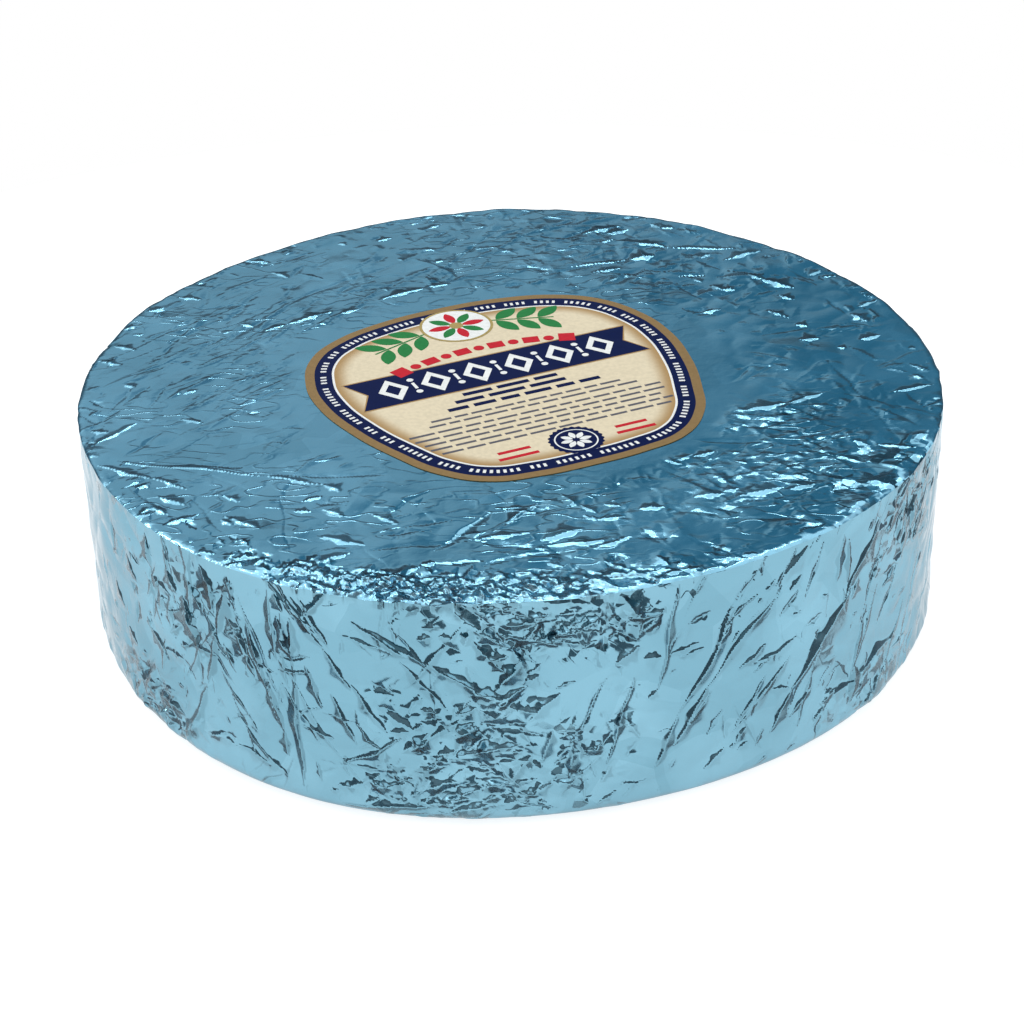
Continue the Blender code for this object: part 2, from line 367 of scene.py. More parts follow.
BACK_LEFT_FOLDS = (
    (498, 476, 558, 523, 1.3, RIDGE),
    (832, 702, 968, 623, 1.6, RIDGE),
    (963, 622, 1044, 603, 1.1, RIDGE),
    (962, 552, 984, 612, 2.0, RIDGE),
    (577, 852, 708, 773, 1.6, RIDGE),
    (513, 892, 583, 848, 1.0, RIDGE),
    (722, 797, 784, 757, 1.3, RIDGE),
    (447, 842, 488, 860, 1.0, RIDGE),
    (107, 962, 178, 995, 1.3, RIDGE),
    (76, 1053, 154, 1090, 1.1, RIDGE),
    (238, 648, 314, 664, 1.2, RIDGE),
    (807, 272, 854, 253, 1.4, RIDGE),
    (947, 207, 1009, 162, 1.2, RIDGE),
    (987, 450, 1020, 441, 1.2, RIDGE),
    (877, 404, 894, 430, 1.0, RIDGE),
    (687, 278, 718, 293, 1.1, RIDGE),
    (172, 748, 214, 722, 1.2, RIDGE),
    (843, 622, 858, 640, 1.0, RIDGE),
    (1046, 732, 1084, 728, 1.0, RIDGE),
    (400, 902, 424, 884, 1.0, RIDGE),
    (400, 850, 470, 640, 1.3, GROOVE),
    (320, 800, 330, 520, 1.1, GROOVE),
    (240, 1080, 330, 760, 1.1, GROOVE),
    (760, 640, 880, 600, 1.1, GROOVE),
    (600, 420, 560, 520, 1.2, GROOVE),
    (480, 440, 620, 330, 1.1, GROOVE),
    (350, 1000, 440, 900, 1.2, GROOVE),
    (1010, 340, 1060, 260, 1.1, GROOVE),
)
BACK_RIGHT_FOLDS = (
    (227, 272, 359, 213, 1.8, RIDGE),
    (306, 273, 374, 243, 2.2, RIDGE),
    (443, 202, 474, 243, 1.6, RIDGE),
    (466, 241, 519, 239, 1.4, RIDGE),
    (357, 323, 484, 382, 1.4, RIDGE),
    (478, 382, 700, 406, 1.1, RIDGE),
    (367, 463, 444, 443, 2.8, RIDGE),
    (186, 507, 372, 463, 1.0, RIDGE),
    (573, 468, 609, 433, 1.6, RIDGE),
    (642, 488, 764, 418, 1.6, RIDGE),
    (707, 592, 744, 633, 1.8, RIDGE),
    (738, 628, 824, 694, 2.6, RIDGE),
    (587, 662, 624, 698, 1.6, RIDGE),
    (618, 690, 659, 696, 1.4, RIDGE),
    (543, 612, 568, 638, 1.2, RIDGE),
    (772, 742, 819, 773, 1.6, RIDGE),
    (727, 836, 788, 894, 1.2, RIDGE),
    (797, 938, 834, 952, 1.6, RIDGE),
    (952, 818, 968, 864, 1.1, RIDGE),
    (987, 833, 1054, 782, 1.4, RIDGE),
    (957, 876, 1004, 934, 1.8, RIDGE),
    (957, 1048, 1024, 1018, 1.8, RIDGE),
    (797, 1037, 854, 1029, 2.0, RIDGE),
    (894, 1088, 919, 1097, 1.2, RIDGE),
    (877, 612, 919, 573, 1.6, RIDGE),
    (296, 618, 329, 588, 1.0, RIDGE),
    (247, 551, 344, 529, 1.2, RIDGE),
    (276, 337, 324, 313, 1.1, RIDGE),
    (30, 130, 130, 60, 1.2, GROOVE),
    (130, 220, 230, 160, 1.1, GROOVE),
    (280, 660, 230, 700, 1.0, GROOVE),
    (400, 540, 470, 560, 1.1, GROOVE),
    (100, 560, 280, 500, 1.2, GROOVE),
    (640, 560, 760, 600, 1.2, GROOVE),
    (900, 760, 960, 900, 1.2, GROOVE),
    (700, 1000, 840, 960, 1.2, GROOVE),
    (560, 480, 640, 560, 1.2, GROOVE),
    (480, 640, 560, 760, 1.0, GROOVE),
    (820, 560, 900, 660, 1.2, GROOVE),
    (60, 300, 200, 330, 1.0, GROOVE),
)

# Enlargements of the top: x and y of the wheel's middle, before they were doubled, and folds
TOP_VIEWS = (
    (600, 40, FRONT_LEFT_FOLDS),
    (40, 40, FRONT_RIGHT_FOLDS),
    (600, 600, BACK_LEFT_FOLDS),
    (0, 600, BACK_RIGHT_FOLDS),
)

# Ridges of the rim's bulge at the right: start x, y, end x, y and width, in millimetres
BULGE_RIDGES = (
    (90.5, -64.5, 101.5, -49.0, 4.5),
    (83.0, -67.0, 94.5, -60.5, 2.2),
    (97.0, -47.5, 106.0, -38.0, 2.0),
)
TOP_RIDGE_STEEP = 0.5
TOP_GROOVE_STEEP = -0.22
TOP_BACK_SHARE = 2.2

# Folds of the side that the photograph shows, read off enlargements that unroll it from the left.
# They are in the enlargements' pixels: start x and y, end x and y, then width and bow in millimetres.
# SIDE_VIEW_TOP is the height of the enlargements' upper edge, in millimetres too.
SIDE_PIXELS_A_DEGREE = 21.8
SIDE_PIXELS_A_MM = 10.825
SIDE_VIEW_TOP = 65.8
LEFT_FOLDS = (
    (886, 120, 880, 260, 1.2, 0),
    (880, 250, 886, 655, 1.2, 0),
    (848, 125, 882, 255, 1.5, 0),
    (852, 190, 876, 236, 2.6, 0),
    (688, 85, 640, 255, 1.8, 0),
    (642, 245, 590, 432, 1.3, 0),
    (590, 430, 498, 625, 1.4, 0),
    (616, 260, 500, 450, 1.2, 0),
    (682, 175, 744, 275, 2.8, 0),
    (740, 268, 762, 335, 1.3, 0),
    (748, 178, 802, 372, 1.4, 0),
    (800, 338, 842, 492, 1.4, 0),
    (548, 128, 592, 205, 2.8, 0),
    (518, 186, 560, 330, 3.2, 0),
    (598, 58, 642, 132, 2.6, 0),
    (626, 90, 636, 192, 1.7, 0),
    (374, 70, 382, 162, 2.1, 0),
    (455, 128, 494, 192, 2.0, 0),
    (378, 184, 465, 212, 2.4, 0),
    (392, 248, 448, 228, 1.7, 0),
    (820, 58, 836, 272, 1.1, 0),
    (843, 58, 868, 112, 1.7, 0),
    (868, 50, 978, 205, 1.4, 0),
    (890, 55, 962, 172, 1.4, 0),
    (912, 55, 988, 192, 1.3, 0),
    (974, 198, 1042, 312, 1.3, 0),
    (918, 258, 958, 384, 1.1, 0),
    (984, 328, 1048, 474, 1.2, 0),
    (1040, 288, 1132, 432, 1.1, 0),
    (1048, 98, 1192, 192, 1.7, 0),
    (1088, 118, 1242, 214, 1.9, 0),
    (1238, 208, 1402, 314, 2.1, 0),
    (1168, 200, 1292, 352, 1.4, 0),
    (1126, 366, 1198, 408, 2.1, 0),
    (1308, 52, 1462, 172, 1.7, 0),
    (1456, 165, 1500, 262, 1.5, 0),
    (1188, 474, 1236, 438, 2.8, 0),
    (1196, 548, 1246, 572, 3.4, 0),
    (1126, 516, 1194, 594, 2.8, 0),
    (1238, 488, 1284, 512, 2.8, 0),
    (1296, 484, 1474, 454, 3.0, 0),
    (1296, 434, 1364, 398, 4.0, 0),
    (1306, 358, 1352, 342, 2.4, 0),
    (1346, 298, 1424, 302, 2.8, 0),
    (1006, 614, 1062, 594, 2.8, 0),
    (1056, 594, 1104, 560, 3.0, 0),
    (1078, 580, 1134, 602, 2.6, 0),
    (1118, 622, 1178, 652, 1.9, 0),
    (1198, 604, 1304, 564, 2.8, 0),
    (1286, 624, 1354, 588, 2.8, 0),
    (1346, 558, 1444, 576, 2.6, 0),
    (1206, 642, 1294, 640, 3.4, 0),
    (1296, 654, 1384, 640, 2.8, 0),
    (1396, 644, 1484, 618, 2.8, 0),
    (276, 624, 364, 558, 2.8, 0),
    (296, 664, 424, 600, 3.0, 0),
    (356, 674, 434, 640, 3.0, 0),
    (426, 664, 524, 590, 3.4, 0),
    (438, 538, 398, 602, 2.4, 0),
    (498, 624, 562, 558, 2.8, 0),
    (338, 368, 404, 412, 1.9, 0),
    (396, 404, 504, 394, 2.4, 0),
    (556, 598, 684, 590, 1.6, 1.0),
    (678, 584, 794, 612, 1.6, 1.0),
    (238, 180, 292, 252, 1.6, 0),
    (128, 318, 182, 392, 1.6, 0),
    (632, 300, 684, 310, 1.2, 0),
    (190, 440, 250, 470, 2.2, 0),
    (1420, 270, 1475, 215, 2.6, 0),
    (840, 486, 848, 562, 1.2, 0),
    (1370, 560, 1440, 600, 2.2, 0),
    (715, 130, 690, 60, 1.4, 0),
)
RIGHT_FOLDS = (
    (635, 40, 585, 345, 1.0, 0),
    (830, 75, 640, 445, 1.5, -1.5),
    (640, 440, 575, 590, 1.4, 0),
    (940, 150, 720, 380, 1.4, 1.2),
    (725, 370, 630, 535, 2.0, 0),
    (1035, 45, 925, 130, 2.2, 0),
    (1015, 125, 970, 160, 1.3, 0),
    (1010, 305, 860, 345, 1.5, -1.0),
    (990, 355, 800, 545, 1.5, 0),
    (905, 390, 810, 530, 1.1, 0),
    (1330, 80, 1180, 270, 2.2, 0),
    (1205, 255, 995, 478, 4.0, 0),
    (1000, 470, 925, 590, 1.8, 0),
    (1190, 90, 1196, 230, 1.0, 0),
    (520, 280, 440, 550, 0.9, 0),
    (540, 238, 592, 244, 2.2, 0),
    (605, 246, 697, 231, 1.3, 0),
    (640, 262, 715, 250, 1.0, 0),
    (1250, 560, 1105, 568, 2.8, 0),
    (1252, 515, 1236, 628, 2.4, 0),
    (1245, 560, 1480, 522, 3.4, 1.5),
    (1240, 625, 1310, 560, 2.4, 0),
    (718, 632, 782, 580, 1.4, 0),
    (820, 602, 862, 584, 1.2, 0),
    (1105, 436, 1165, 441, 1.8, 0),
    (1160, 455, 1228, 548, 1.6, 0),
    (915, 443, 992, 467, 1.5, 0),
    (195, 82, 335, 98, 3.4, 0),
    (325, 135, 445, 98, 2.6, 0),
    (480, 38, 545, 132, 2.8, 0),
    (535, 122, 600, 108, 2.4, 0),
    (445, 55, 505, 185, 1.8, 0),
    (235, 28, 405, 52, 2.8, 0),
    (168, 266, 224, 198, 2.6, 0),
    (226, 268, 275, 248, 2.2, 0),
    (98, 288, 175, 314, 2.8, 0),
    (108, 338, 195, 398, 2.1, 0),
    (55, 355, 112, 338, 2.4, 0),
    (46, 424, 120, 400, 3.8, 0),
    (55, 486, 218, 455, 3.0, 0),
    (0, 500, 42, 506, 2.4, 0),
    (268, 518, 302, 418, 1.4, 0),
    (340, 574, 356, 468, 1.6, 0),
    (364, 456, 398, 520, 1.4, 0),
    (386, 492, 436, 474, 2.4, 0),
    (238, 508, 268, 534, 1.9, 0),
    (55, 604, 185, 568, 3.0, 0),
    (0, 644, 84, 618, 3.0, 0),
    (98, 642, 164, 600, 2.4, 0),
    (28, 664, 152, 640, 3.0, 0),
    (316, 578, 380, 602, 3.0, 0),
    (0, 210, 66, 256, 1.6, 0),
    (60, 250, 150, 302, 1.8, 0),
    (580, 340, 555, 365, 1.2, 0),
    (1360, 60, 1440, 110, 2.4, 0),
    (1290, 120, 1370, 125, 2.6, 0),
)

# Enlargements of the side: azimuth of their left edge in degrees, and folds
SIDE_VIEWS = ((202.94, LEFT_FOLDS), (260.28, RIGHT_FOLDS))
SIDE_UP_LEAN = 0.42
SIDE_STEEPEST = 1.5
SIDE_UNDER_SHARE = 2.4
SIDE_WIDTH_SHARE = 0.85
SIDE_LEAST_LEVEL = 0.1
NEAR_SEAM = 0.4

# Down to this share of the rim's drop the side takes no lean from its folds
RIM_LEAN_SHARE = 0.9

# Seeds of the random folds and of the small print
SIDE_SEED, TOP_SEED, DASH_SEED, PRINT_SEED = 11, 12, 5, 3

# Slices of foil: name, whether it is of the top sheet, start and end in degrees, and mesh spacing in
# millimetres, which is finer where the photograph looks
FOIL_SLICES = (
    ("foil_top_front", True, 180, 360, 0.54),
    ("foil_top_back", True, 0, 180, 0.66),
    ("foil_side_left", False, 180, 243.4, 0.36),
    ("foil_side_front", False, 243.4, 289.2, 0.36),
    ("foil_side_right", False, 289.2, 360, 0.36),
    ("foil_side_back", False, 0, 180, 0.75),
)

# Angles past which an edge between two faces stays sharp, in degrees
FOIL_SHARP_ANGLE, PRINT_SHARP_ANGLE = 70, 40

# What the foil reflects at a grazing angle
EDGE_TINT = (0.62, 0.66, 0.68)

# Sockets of the Mix node that hold its two colours and their mix
MIX_FIRST, MIX_SECOND, MIX_RESULT = 6, 7, 2

# Brightness of the studio's walls as the foil reflects them, and of its floor and backdrop
BACK_LEFT = (0.55, 0.69, 0.77)
BACK_RIGHT = (0.08, 0.26, 0.37)
BACK_LOW = (0.10, 0.16, 0.20)
FRONT_LOW = (0.06, 0.13, 0.16)
FRONT_HIGH = (0.33, 0.37, 0.39)
OVERHEAD = (1.48, 1.53, 1.58)
PALE = (1.0, 1.0, 1.0)

# The studio's lights, which all aim at the wheel's base: name, place, width, height and power in watts
LIGHTS = (
    ("overhead softbox", (-0.1, 0.05, 1.5), 0.9, 0.45, 3.0),
    ("back strip", (0.2, 0.75, 1.5), 1.2, 0.05, 3.0),
    ("left strip", (-1.2, 0.4, 1.2), 0.06, 0.8, 3.0),
)

# The camera's sensor in millimetres, and its shift, which frames the wheel as the photograph does
SENSOR_WIDTH = 36
CAMERA_SHIFT = (0.0007, -0.0343)


class WheelSizes(bpy.types.PropertyGroup):
    """How the foil is meshed and creased"""

    coarseness: FloatProperty(
        name="Coarseness",
        description="Factor on the spacing of the foil's mesh",
        default=1.0,
        min=0.9,
    )
    facet_share: FloatProperty(
        name="Facets",
        description="Share of the wide facets' and rim dents' height that the foil shows",
        default=0.45,
        subtype="FACTOR",
    )


class FoilFinish(bpy.types.PropertyGroup):
    """Colours and gloss of the foil"""

    top_colour: FloatVectorProperty(
        name="Top colour",
        description="Colour of the lacquered aluminium on the top",
        default=(0.21, 0.46, 0.60, 1.0),
        size=4,
        subtype="COLOR",
    )
    # Painted shade: the side's colour is a darker copy of the top's, so that the side comes out darker
    # under this studio's light
    shaded_side_colour: FloatVectorProperty(
        name="Side colour",
        description="Colour of the lacquered aluminium on the side, where it lies in two layers",
        default=(0.196, 0.417, 0.53, 1.0),
        size=4,
        subtype="COLOR",
    )
    roughness: FloatProperty(
        name="Roughness",
        description="Roughness of the foil between its folds",
        default=0.14,
        subtype="FACTOR",
    )
    coat: FloatProperty(
        name="Lacquer",
        description="Weight of the clear lacquer's own reflection",
        default=0.3,
        subtype="FACTOR",
    )


def ink(name, description, colour):
    """A colour property for one of the label's inks."""
    return FloatVectorProperty(
        name=name, description=description, default=(*colour, 1.0), size=4, subtype="COLOR"
    )


class LabelInks(bpy.types.PropertyGroup):
    """Colours of the printed label"""

    cream: ink("Cream", "The label's field", (0.635, 0.535, 0.375))
    toned: ink("Toned edge", "The darker tone round the field", (0.35, 0.215, 0.09))
    tan: ink("Tan", "The label's border", (0.285, 0.172, 0.07))
    gold: ink("Gold", "Rim of the medallion", (0.46, 0.32, 0.11))
    navy: ink("Navy", "Ring, banner and seal", (0.002, 0.005, 0.045))
    white: ink("White", "Lines, medallion and lozenges", (0.71, 0.70, 0.67))
    red: ink("Red", "Arch and small marks", (0.47, 0.015, 0.025))
    green: ink("Green", "Sprigs", (0.022, 0.17, 0.045))
    grey: ink("Grey", "Fine lines", (0.10, 0.095, 0.11))


class StudioSizes(bpy.types.PropertyGroup):
    """The floor and the camera"""

    floor_radius: FloatProperty(
        name="Floor radius",
        description="Radius of the pale floor, past which the foil reflects the dark studio",
        default=0.36,
        unit="LENGTH",
    )
    lens: FloatProperty(
        name="Lens",
        description="Focal length of the camera in millimetres",
        default=80.1,
    )
    elevation: FloatProperty(
        name="Elevation",
        description="How far the camera looks down on the wheel",
        default=math.radians(29.15),
        subtype="ANGLE",
    )
    distance: FloatProperty(
        name="Distance",
        description="Distance from the camera to the wheel's middle",
        default=0.6294,
        unit="LENGTH",
    )
    roll: FloatProperty(
        name="Roll",
        description="Roll of the camera",
        default=math.radians(-1.47),
        subtype="ANGLE",
    )


def ramp(value, low, high):
    """0 below low, 1 above high, with a smooth rise between them, for numbers and for arrays."""
    share = np.clip((value - low) / (high - low), 0.0, 1.0)
    return share * share * (3 - 2 * share)


def noise_at(points, size, place=(0.0, 0.0, 0.0)):
    """Noise from about -1 to 1 at each point, with blobs of about this size."""
    scaled = points / size + np.array(place)
    return np.array([noise.noise(point) for point in scaled.tolist()])


def even_steps(start, end, spacing):
    """Distances from start to end in equal steps near this spacing, without the first."""
    count = max(1, round(abs(end - start) / spacing))
    return [start + (end - start) * i / count for i in range(1, count + 1)]


def arc_points(centre, radius, start, end, spacing):
    """Points on an arc in the XZ plane, without its first one."""
    steps = max(2, round(abs(end - start) * radius / spacing))
    angles = [start + (end - start) * i / steps for i in range(1, steps + 1)]
    return [centre + radius * Vector((math.cos(a), 0, math.sin(a))) for a in angles]


def top_profile(spacing):
    """Half section of the top sheet: from under the label to the pressed rim, where the side starts."""
    rim_start = WHEEL_RADIUS - RIM_RADIUS
    first = SMOOTH_TOP_RADIUS - FOIL_UNDER_LABEL
    points = [Vector((first, 0, WHEEL_HEIGHT))]
    points += [Vector((r, 0, WHEEL_HEIGHT)) for r in even_steps(first, rim_start, spacing)]
    middle = Vector((WHEEL_RADIUS - RIM_BEND, 0, WHEEL_HEIGHT - RIM_BEND_DROP))
    outer = Vector((WHEEL_RADIUS, 0, WHEEL_HEIGHT - RIM_DROP))
    return points + [points[-1].lerp(middle, 0.5), middle, middle.lerp(outer, 0.5), outer]


def side_profile(spacing):
    """Half section of the side: from the end of the rim, down, and round the base edge to the flat base."""
    start = WHEEL_HEIGHT - RIM_DROP
    points = [Vector((WHEEL_RADIUS, 0, start))]
    points += [Vector((WHEEL_RADIUS, 0, z)) for z in even_steps(start, BASE_EDGE_RADIUS, spacing)]
    edge_centre = Vector((WHEEL_RADIUS - BASE_EDGE_RADIUS, 0, BASE_EDGE_RADIUS))
    return points + arc_points(edge_centre, BASE_EDGE_RADIUS, 0, -math.pi / 2, spacing)


def foil_slice(profile, start, end, steps):
    """A grid bent round Z from start to end along this half section, closed by flat cuts to the axis."""
    rows = len(profile) - 1
    mesh = bmesh.new()
    bmesh.ops.create_grid(mesh, x_segments=steps, y_segments=rows, size=0.5)
    quarter_cell = 0.25 / max(rows, steps)
    arcs = [[v for v in mesh.verts if abs(v.co.y - y) < quarter_cell] for y in (-0.5, 0.5)]
    cuts = [[v for v in mesh.verts if abs(v.co.x - x) < quarter_cell] for x in (-0.5, 0.5)]
    for arc in arcs:
        arc.sort(key=lambda vert: vert.co.x)
    for cut in cuts:
        cut.sort(key=lambda vert: vert.co.y)
    for vert in mesh.verts:
        angle = start + (end - start) * (vert.co.x + 0.5)
        station = profile[round((vert.co.y + 0.5) * rows)]
        vert.co = (station.x * math.cos(angle), station.x * math.sin(angle), station.z)
    middles = [bmesh.ops.create_vert(mesh, co=(0, 0, profile[i].z))["vert"][0] for i in (0, -1)]
    for arc, middle in zip(arcs, middles):
        mesh.faces.new([*arc, middle])
    for cut in cuts:
        mesh.faces.new([*cut, middles[1], middles[0]])
    bmesh.ops.recalc_face_normals(mesh, faces=mesh.faces)
    return mesh


def outline_offset(angle):
    """How far the wheel's outline stands out from its mean circle at this angle."""
    return sum(height * np.cos(count * (angle - crest)) for count, height, crest in OUTLINE_WAVES)


def label_clearance(points):
    """0 under the label, 1 where the foil is free to crease."""
    away = np.hypot(points[:, 0] - LABEL_CENTRE[0], points[:, 1] - LABEL_CENTRE[1])
    return ramp(away, LABEL_RELIEF_START, LABEL_CLEAR_RADIUS)


def facet_relief(points):
    """Shallow dents of the foil, with creases where the finer noise changes sign."""
    small = noise_at(points, FACET_SIZE)
    wide = noise_at(points, WIDE_FACET_SIZE, WIDE_FACET_PLACE)
    return np.abs(small) - FACET_LEVEL + WIDE_FACET_SHARE * wide


def fold_relief(across, along, folds):
    """Height and lean of the folds at each point. A fold is a ridge or a groove with two pointed ends.

    Each fold has a face on each side of its middle line. The lean is the slope that its faces give the
    foil, across and along the sheet.
    """
    height, lean_across, lean_along = np.zeros((3, len(across)))
    order = np.argsort(across)
    sorted_across = across[order]
    for fold in folds:
        reach = fold.half_length + max(fold.width, fold.other_width) + abs(fold.bow)
        first = np.searchsorted(sorted_across, fold.across - reach)
        last = np.searchsorted(sorted_across, fold.across + reach)
        near = order[first:last]
        near = near[np.abs(along[near] - fold.along) < reach]
        if len(near) == 0:
            continue
        du = across[near] - fold.across
        dv = along[near] - fold.along
        cos, sin = math.cos(fold.direction), math.sin(fold.direction)
        share = (du * cos + dv * sin) / fold.half_length
        taper = np.clip(1 - np.abs(share), 0, 1)
        phase = fold.across / MM
        sway = SWAY_SHARE * fold.half_length * np.sin(SWAY_TURNS * share + phase)
        off = dv * cos - du * sin - fold.bow * taper - sway
        swell = 1 + SWELL_SHARE * np.sin(SWELL_TURNS * share + 2 * phase)
        widths = np.where(off > 0, fold.width, fold.other_width)
        reaches = widths * swell * taper**TAPER_POWER + TINY
        tent = np.clip(1 - np.abs(off) / reaches, 0, 1)
        height[near] += fold.rise * taper * tent
        face = np.clip(FACE_RISE * tent, 0, 1) * np.sign(off) * fold.rise / widths
        lean_across[near] -= face * sin
        lean_along[near] += face * cos
    return height, lean_across, lean_along


def drawn_fold(rng, across, along, group):
    """One seeded fold of a group, at this place of its sheet."""
    width = rng.uniform(group.width_low, group.width_high) * MM
    length = rng.gamma(LENGTH_SHAPE, group.length / (2 * LENGTH_SHAPE)) * MM
    half_length = max(LEAST_LENGTH * width, length)
    rise = width * rng.uniform(group.steep_low, group.steep_high) * rng.choice(RIDGES_AND_GROOVES)
    return Fold(
        across=across,
        along=along,
        direction=rng.normal(math.radians(group.direction), math.radians(group.turn)),
        half_length=half_length,
        width=width,
        other_width=width * rng.uniform(1.0, MOST_SECOND_WIDTH),
        rise=rise,
        bow=rng.normal(0, BOW_SPREAD) * half_length,
    )


def group_folds(groups, seed, on_side):
    """The seeded folds of every group. A group with no middle azimuth goes all the way round."""
    rng = np.random.RandomState(seed)
    folds = []
    for group in groups:
        for _ in range(group.count):
            if group.azimuth is None:
                azimuth = rng.uniform(-180, 180)
                place = rng.uniform(group.place - group.place_spread, group.place + group.place_spread)
            else:
                azimuth = rng.normal(group.azimuth, group.azimuth_spread)
                place = rng.normal(group.place, group.place_spread)
            angle = math.radians((azimuth + 180) % 360 - 180)
            place *= MM
            if on_side:
                folds.append(drawn_fold(rng, angle * WHEEL_RADIUS, place, group))
            else:
                folds.append(drawn_fold(rng, place * math.cos(angle), place * math.sin(angle), group))
    return folds


def placed_fold(start, end, width, other_width, rise, bow=0.0):
    """A fold between two points of its sheet. Its width is on the left, going from start to end."""
    du, dv = end[0] - start[0], end[1] - start[1]
    return Fold(
        across=(start[0] + end[0]) / 2,
        along=(start[1] + end[1]) / 2,
        direction=math.atan2(dv, du),
        half_length=math.hypot(du, dv) / 2,
        width=width,
        other_width=other_width,
        rise=rise,
        bow=bow,
    )


def side_point(left_azimuth, x, y):
    """Azimuth in degrees and height in millimetres of a pixel of a side enlargement, to a tenth."""
    azimuth = left_azimuth + x / SIDE_PIXELS_A_DEGREE
    height = SIDE_VIEW_TOP - y / SIDE_PIXELS_A_MM
    return round(azimuth, 1), round(height, 1)


def seen_on_side():
    """The side's folds in the photograph: azimuth and height of both ends, width and bow."""
    rows = []
    for left_azimuth, view in SIDE_VIEWS:
        for x, y, end_x, end_y, *sizes in view:
            start, end = side_point(left_azimuth, x, y), side_point(left_azimuth, end_x, end_y)
            rows.append((*start, *end, *sizes))
    return sorted(rows)


def side_folds():
    """Folds of the side. Each one in the photograph has an upper face steep enough to show dark.

    Those near the back seam, where the angle jumps by a turn, are repeated on its other side.
    """
    folds = group_folds(SIDE_GROUPS, SIDE_SEED, True)
    for row in seen_on_side():
        start = (math.radians(row[0] - 360) * WHEEL_RADIUS, row[1] * MM)
        end = (math.radians(row[2] - 360) * WHEEL_RADIUS, row[3] * MM)
        start, end = sorted((start, end))
        width, bow = SIDE_WIDTH_SHARE * row[4] * MM, row[5] * MM
        level = abs(end[0] - start[0]) / math.dist(start, end)
        steep = min(SIDE_STEEPEST, SIDE_UP_LEAN / max(level, SIDE_LEAST_LEVEL))
        folds.append(placed_fold(start, end, width, width * SIDE_UNDER_SHARE, width * steep, bow))
    round_wheel = TURN * WHEEL_RADIUS
    near_seam = [fold for fold in folds if abs(fold.across) > NEAR_SEAM * round_wheel]
    return folds + [
        fold._replace(across=fold.across - math.copysign(round_wheel, fold.across)) for fold in near_seam
    ]


def top_point(middle_x, middle_y, x, y):
    """Place of a pixel of a top enlargement, in millimetres from the wheel's middle."""
    across = (x / TOP_ENLARGED - middle_x) / TOP_PIXELS_A_MM
    return across, (middle_y - y / TOP_ENLARGED) / TOP_PIXELS_A_MM


def seen_on_top(wanted):
    """The ridges or grooves of the top in the photograph: both ends, the left one first, and width."""
    rows = []
    for middle_x, middle_y, view in TOP_VIEWS:
        for x, y, end_x, end_y, width, kind in view:
            if kind == wanted:
                ends = top_point(middle_x, middle_y, x, y), top_point(middle_x, middle_y, end_x, end_y)
                left, right = sorted(ends, key=lambda end: end[0])
                rows.append((*(round(value, 1) for value in (*left, *right)), width))
    return sorted(rows)


def top_folds():
    """Folds of the top. The steep face of one in the photograph looks towards the front."""
    folds = group_folds(TOP_GROUPS, TOP_SEED, False)
    ridges = [*seen_on_top(RIDGE), *BULGE_RIDGES]
    for rows, steep in ((ridges, TOP_RIDGE_STEEP), (seen_on_top(GROOVE), TOP_GROOVE_STEEP)):
        for start_x, start_y, end_x, end_y, width in rows:
            start, end, width = (start_x * MM, start_y * MM), (end_x * MM, end_y * MM), width * MM
            folds.append(placed_fold(start, end, width * TOP_BACK_SHARE, width, width * steep))
    return folds


def crumple_share(points):
    """How densely the foil is crumpled at each point, from 0 to 1."""
    azimuth = np.degrees(np.arctan2(points[:, 1], points[:, 0])) % 360
    radius = np.hypot(points[:, 0], points[:, 1]) / MM
    z = points[:, 2] / MM
    share = np.zeros(len(points))
    for middle, half_width, low, high, inner_radius, strength in CRUMPLES:
        turn_away = np.abs((azimuth - middle + 180) % 360 - 180)
        inside = 1 - ramp(turn_away, 0.5 * half_width, half_width)
        inside = inside * ramp(z, low - CRUMPLE_EDGE_HEIGHT, low + CRUMPLE_EDGE_HEIGHT)
        inside = inside * (1 - ramp(z, high - CRUMPLE_EDGE_HEIGHT, high + CRUMPLE_EDGE_HEIGHT))
        inside = inside * ramp(
            radius, inner_radius - CRUMPLE_EDGE_RADIUS, inner_radius + CRUMPLE_EDGE_RADIUS
        )
        share = np.maximum(share, strength * inside)
    patches = noise_at(points, CRUMPLE_PATCH_SIZE, CRUMPLE_PATCH_PLACE)
    return share * ramp(patches, CRUMPLE_PATCH_LOW, CRUMPLE_PATCH_HIGH)


